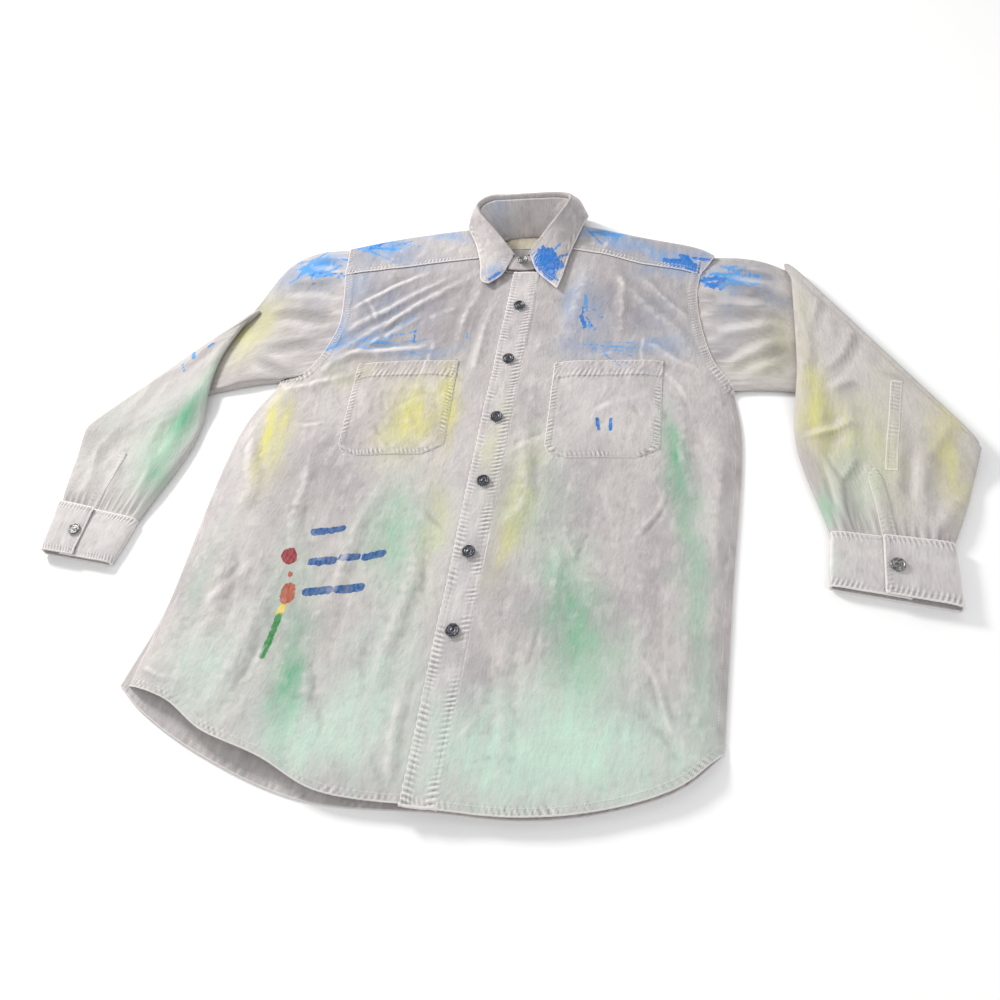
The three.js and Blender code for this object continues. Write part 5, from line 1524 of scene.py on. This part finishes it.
def heights_on(surface, x, y, missing):
    """The height of a surface straight under each place in plan."""
    z = np.zeros_like(x)
    for index in np.ndindex(x.shape):
        hit = surface.ray_cast(Vector((x[index], y[index], RAY_START)), Vector((0, 0, -1)))[0]
        z[index] = hit.z if hit else missing
    return z


def make_sleeve_placket(side, surface):
    """The binding of the slit above a cuff, laid on the forearm's cloth."""
    edges, share = forearm_edges(side), CUFF_SHARE[side] - 0.04
    end = mix(*ends_at(edges, 1.0), share)
    up = mix(*ends_at(edges, 0.75), share) - end
    up /= np.linalg.norm(up)
    sideways = np.array([up[1], -up[0]])
    us, vs = spread(BINDING_WIDTH, 1.0, 0.5, 3), spread(BINDING_LENGTH, 1.5, 0.7, 5)
    u, v = np.meshgrid(us - 0.5, vs)
    point = 1 - np.clip((v - 0.86) / 0.14, 0, 1) * 0.5
    along = -2 + v * BINDING_LENGTH
    x, y = (end[a] + up[a] * along + sideways[a] * u * BINDING_WIDTH * point for a in (0, 1))
    z = heights_on(surface, x, y, 10)
    for _ in range(5):
        z[1:-1] = (z[:-2] + z[1:-1] + z[2:]) / 3
        z[:, 1:-1] = np.maximum((z[:, :-2] + z[:, 1:-1] + z[:, 2:]) / 3, z[:, 1:-1] - 0.15)
    z += 1.3 * np.sqrt(np.clip(1 - np.abs(2 * u) ** 10, 0, 1)) + 0.3
    z += pucker(np.abs(u) * BINDING_WIDTH - 5, v * BINDING_LENGTH, 151, 7.5, 3, 0.5)
    name = f"{side}_sleeve_placket_cloth"
    made = cloth_piece(name, np.stack([x, y, z], -1), 1.2, cloth, [f"{side}_forearm"],
                       [f"{side}_sleeve_placket"], LEFT_FOREARM_WASH if side == "left" else RIGHT_FOREARM_WASH)
    for k in (0.14, 0.86):
        column = int(k * (x.shape[1] - 1))
        add_stitches(name, np.column_stack([x[:, column], y[:, column]]))


def make_felled_seam(surface):
    """The double-stitched seam up the left forearm, from near its placket's head to the elbow."""
    line = curve([(440, -8), (443, 24), (447, 60), (453, 112)])
    vs, us = np.linspace(0, 1, 100), spread(FELLED_WIDTH, 0.9, 0.5, 2)
    middle = line(vs)
    way = np.gradient(middle, axis=0)
    way /= np.linalg.norm(way, axis=1, keepdims=True)
    across = (us - 0.5) * FELLED_WIDTH
    x = middle[:, :1] + way[:, 1:] * across
    y = middle[:, 1:] - way[:, :1] * across
    z = heights_on(surface, x, y, 20)
    off, run = np.meshgrid(across, vs * FELLED_LENGTH)
    z += 0.5 * np.sqrt(np.clip(1 - (off / 6.2) ** 8, 0, 1)) + 0.2 + pucker(0.5 * off, run, 155, 8.5, 5, 0.5)
    z -= groove(np.abs(off) - FELLED_ROW, 0.8, 0.3)
    name = "left_sleeve_seam_cloth"
    seam = cloth_piece(name, np.stack([x, y, z], -1), 0.9, cloth, ["left_forearm"], (), LEFT_FOREARM_WASH)
    for aside in (-FELLED_ROW, FELLED_ROW):
        add_stitches(name, (middle + aside * np.column_stack([way[:, 1], -way[:, 0]]))[2:-2])


# ---------------------------------------------------------------- buttons

BUTTON_PROFILE = [
    (0, 1.4), (1.7, 1.4), (1.7, 0.8), (3.4, 0.75), (3.4, 0.8), (6.6, 1.1), (7.3, 1.5), (7.5, 2.2),
    (7.35, 3.0), (6.9, 3.5), (6.2, 3.55), (5.6, 3.2), (5.2, 2.75), (4.6, 2.6), (4.2, 2.9), (3.8, 3.05),
    (3.3, 2.9), (2.9, 2.6), (2.2, 2.55), (1.7, 2.85), (1.0, 3.05), (0, 3.1),
]
BEAD_RING = (4.9, 6.3)


def make_button(body, material):
    """A stamped button's head with a ring of beads, round the head that the frame has for this body."""
    node = body + "_head"
    low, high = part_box(node)
    centre = (np.array([(low.x + high.x) / 2, (low.y + high.y) / 2, low.z]) - row_shift) / MM
    segments = 72
    angles = np.linspace(0, 2 * np.pi, segments, endpoint=False)
    profile = np.array(BUTTON_PROFILE[1:-1])
    rings = []
    for radius, z in profile:
        on_ring = BEAD_RING[0] < radius < BEAD_RING[1] and z > 2.5
        bump = 0.16 * np.cos(angles * 24) if on_ring else 0.0
        ring_z = z + bump + 0.05 * np.cos(angles * 3 + radius)
        rings.append(np.stack([radius * np.cos(angles), radius * np.sin(angles), ring_z + 0 * angles], -1))
    grid = np.stack(rings) + centre
    poles = [centre + (0, 0, BUTTON_PROFILE[end][1]) for end in (0, -1)]
    points = np.vstack([grid.reshape(-1, 3), *poles])
    faces = quads(len(profile), segments, wraps=True)
    triangles = np.concatenate([faces[:, [0, 1, 2]], faces[:, [0, 2, 3]]])
    a, count = np.arange(segments), len(grid) * segments
    b = np.roll(a, -1)
    low_cap = np.stack([np.full(segments, count), b, a], -1)
    high_cap = np.stack([np.full(segments, count + 1), a + count - segments, b + count - segments], -1)
    all_faces = np.vstack([triangles, low_cap, high_cap])
    piece(body + "_cap", points, all_faces, material, [body], [node])


# ---------------------------------------------------------------- stitches

STITCH_PITCH, STITCH_LONG, STITCH_WIDE, STITCH_HIGH = 3.0, 2.4, 0.62, 0.34


def stitch_mesh(name, places, bodies):
    """Short threads, each a long eight-sided grain, at (point, normal, direction) places."""
    points, faces = [], []
    for k, (point, up, way) in enumerate(places):
        up = up / np.linalg.norm(up)
        way = way - up * (way @ up)
        way = way / max(np.linalg.norm(way), 1e-9)
        side = np.cross(up, way)
        point = point + up * 0.06
        points += [point - way * STITCH_LONG / 2, point + way * STITCH_LONG / 2,
                   point + side * STITCH_WIDE / 2, point - side * STITCH_WIDE / 2,
                   point + up * STITCH_HIGH - way * 0.5, point - up * 0.2, point + up * STITCH_HIGH + way * 0.5]
        b = 7 * k
        faces += [(b, b + 2, b + 4), (b, b + 4, b + 3), (b + 4, b + 2, b + 6), (b + 4, b + 6, b + 3),
                  (b + 6, b + 2, b + 1), (b + 6, b + 1, b + 3), (b, b + 5, b + 2), (b, b + 3, b + 5),
                  (b + 1, b + 2, b + 5), (b + 1, b + 5, b + 3)]
    piece(name, np.array(points), np.array(faces), thread, bodies)


def surface_of(holder):
    """A piece's faces in plan millimetres, to cast rays at."""
    mesh = holder.data
    co = np.zeros(len(mesh.vertices) * 3, np.float32)
    mesh.vertices.foreach_get("co", co)
    points = (co.reshape(-1, 3) - row_shift) / MM
    return BVHTree.FromPolygons([tuple(p) for p in points], [tuple(p.vertices) for p in mesh.polygons])


def make_stitches():
    for name, lines in stitch_rows.items():
        surface = surface_of(bpy.data.objects[name])
        places = []
        for line in lines:
            lengths = np.linalg.norm(np.diff(line[:, :2], axis=0), axis=1)
            run = np.concatenate([[0], np.cumsum(lengths)])
            at = np.arange(STITCH_PITCH / 2, run[-1], STITCH_PITCH)
            x, y = np.interp(at, run, line[:, 0]), np.interp(at, run, line[:, 1])
            next_x, next_y = np.interp(at + 0.6, run, line[:, 0]), np.interp(at + 0.6, run, line[:, 1])
            ahead = np.stack([next_x - x, next_y - y], -1)
            for px, py, way in zip(x, y, ahead):
                hit, up, _, _ = surface.ray_cast(Vector((px, py, 120)), Vector((0, 0, -1)))
                if hit is None or up is None or abs(up.z) < 0.2 or np.hypot(*way) < 1e-6:
                    continue
                up = np.array(up) * np.sign(up.z)
                places.append((np.array(hit), up, np.array([way[0], way[1], 0.0])))
        stitch_mesh(name.replace("_cloth", "") + "_stitching", places, body_of(bpy.data.objects[name]))
    for name, leaf_rows in leaf_stitches.items():
        places = []
        for found in leaf_rows:
            for k in range(1, len(found) - 1):
                way = found[k + 1][0] - found[k - 1][0]
                if np.linalg.norm(way) > 1e-6:
                    places.append((found[k][0], found[k][1], way))
        bodies = ["shirt"] if name == "collar_back" else wing_blend(name)
        stitch_mesh(name + "_stitching", places, bodies)


def wing_blend(name):
    """A wing stays on the back of the collar and turns with its body towards its tip."""
    side = name.split("_")[0]
    back, toward = np.array(WING_FOLD[side][-1], float), np.array(WING_FRONT[side][-1], float)
    return ["shirt", name, tuple(back), tuple(back + (toward - back) * 0.45)]


def make_buttonholes():
    """The worked edge of each placket buttonhole: short threads across its slit."""
    placket = surface_of(bpy.data.objects["placket_cloth"])
    places = []
    for i in range(6):
        y0 = FIRST_BUTTON[1] - i * BUTTON_PITCH
        for angle in np.linspace(0, 2 * np.pi, 64, endpoint=False):
            side, tall = 1.5 * math.cos(angle), 10.0 * np.sign(math.sin(angle)) * abs(math.sin(angle)) ** 0.7
            start = Vector((FIRST_BUTTON[0] + side, y0 + tall, RAY_START))
            hit, up, _, _ = placket.ray_cast(start, Vector((0, 0, -1)))
            if hit is not None:
                way = np.array([1.0, 0.35 * np.sign(tall), 0.0])
                if abs(tall) >= 9:
                    way = np.array([math.cos(angle), math.sin(angle), 0])
                places.append((np.array(hit) + (0, 0, 0.1), np.array(up) * np.sign(up.z), way))
    stitch_mesh("buttonhole_stitching", places, ["shirt"])


# ---------------------------------------------------------------- building

make_back()
make_fronts()
make_yoke()
make_placket()
for side in ("left", "right"):
    make_pocket(side)
make_band()
make_collar()
make_label()
for side in ("left", "right"):
    make_sleeve(side)
    make_cuff(side)
    make_sleeve_placket(side, surface_of(bpy.data.objects[f"{side}_sleeve_forearm_cloth"]))
make_felled_seam(surface_of(bpy.data.objects["left_sleeve_forearm_cloth"]))
make_stitches()
make_buttonholes()
for i in range(1, 7):
    make_button(f"front_button_{i}", gunmetal)
for who in ("collar_button", "left_cuff_button", "right_cuff_button"):
    make_button(who, pewter)
for node, holder in frame["nodes"].items():
    if node.endswith("_tack"):
        holder.data.materials.clear()
        holder.data.materials.append(gunmetal if node.startswith("front") else pewter)
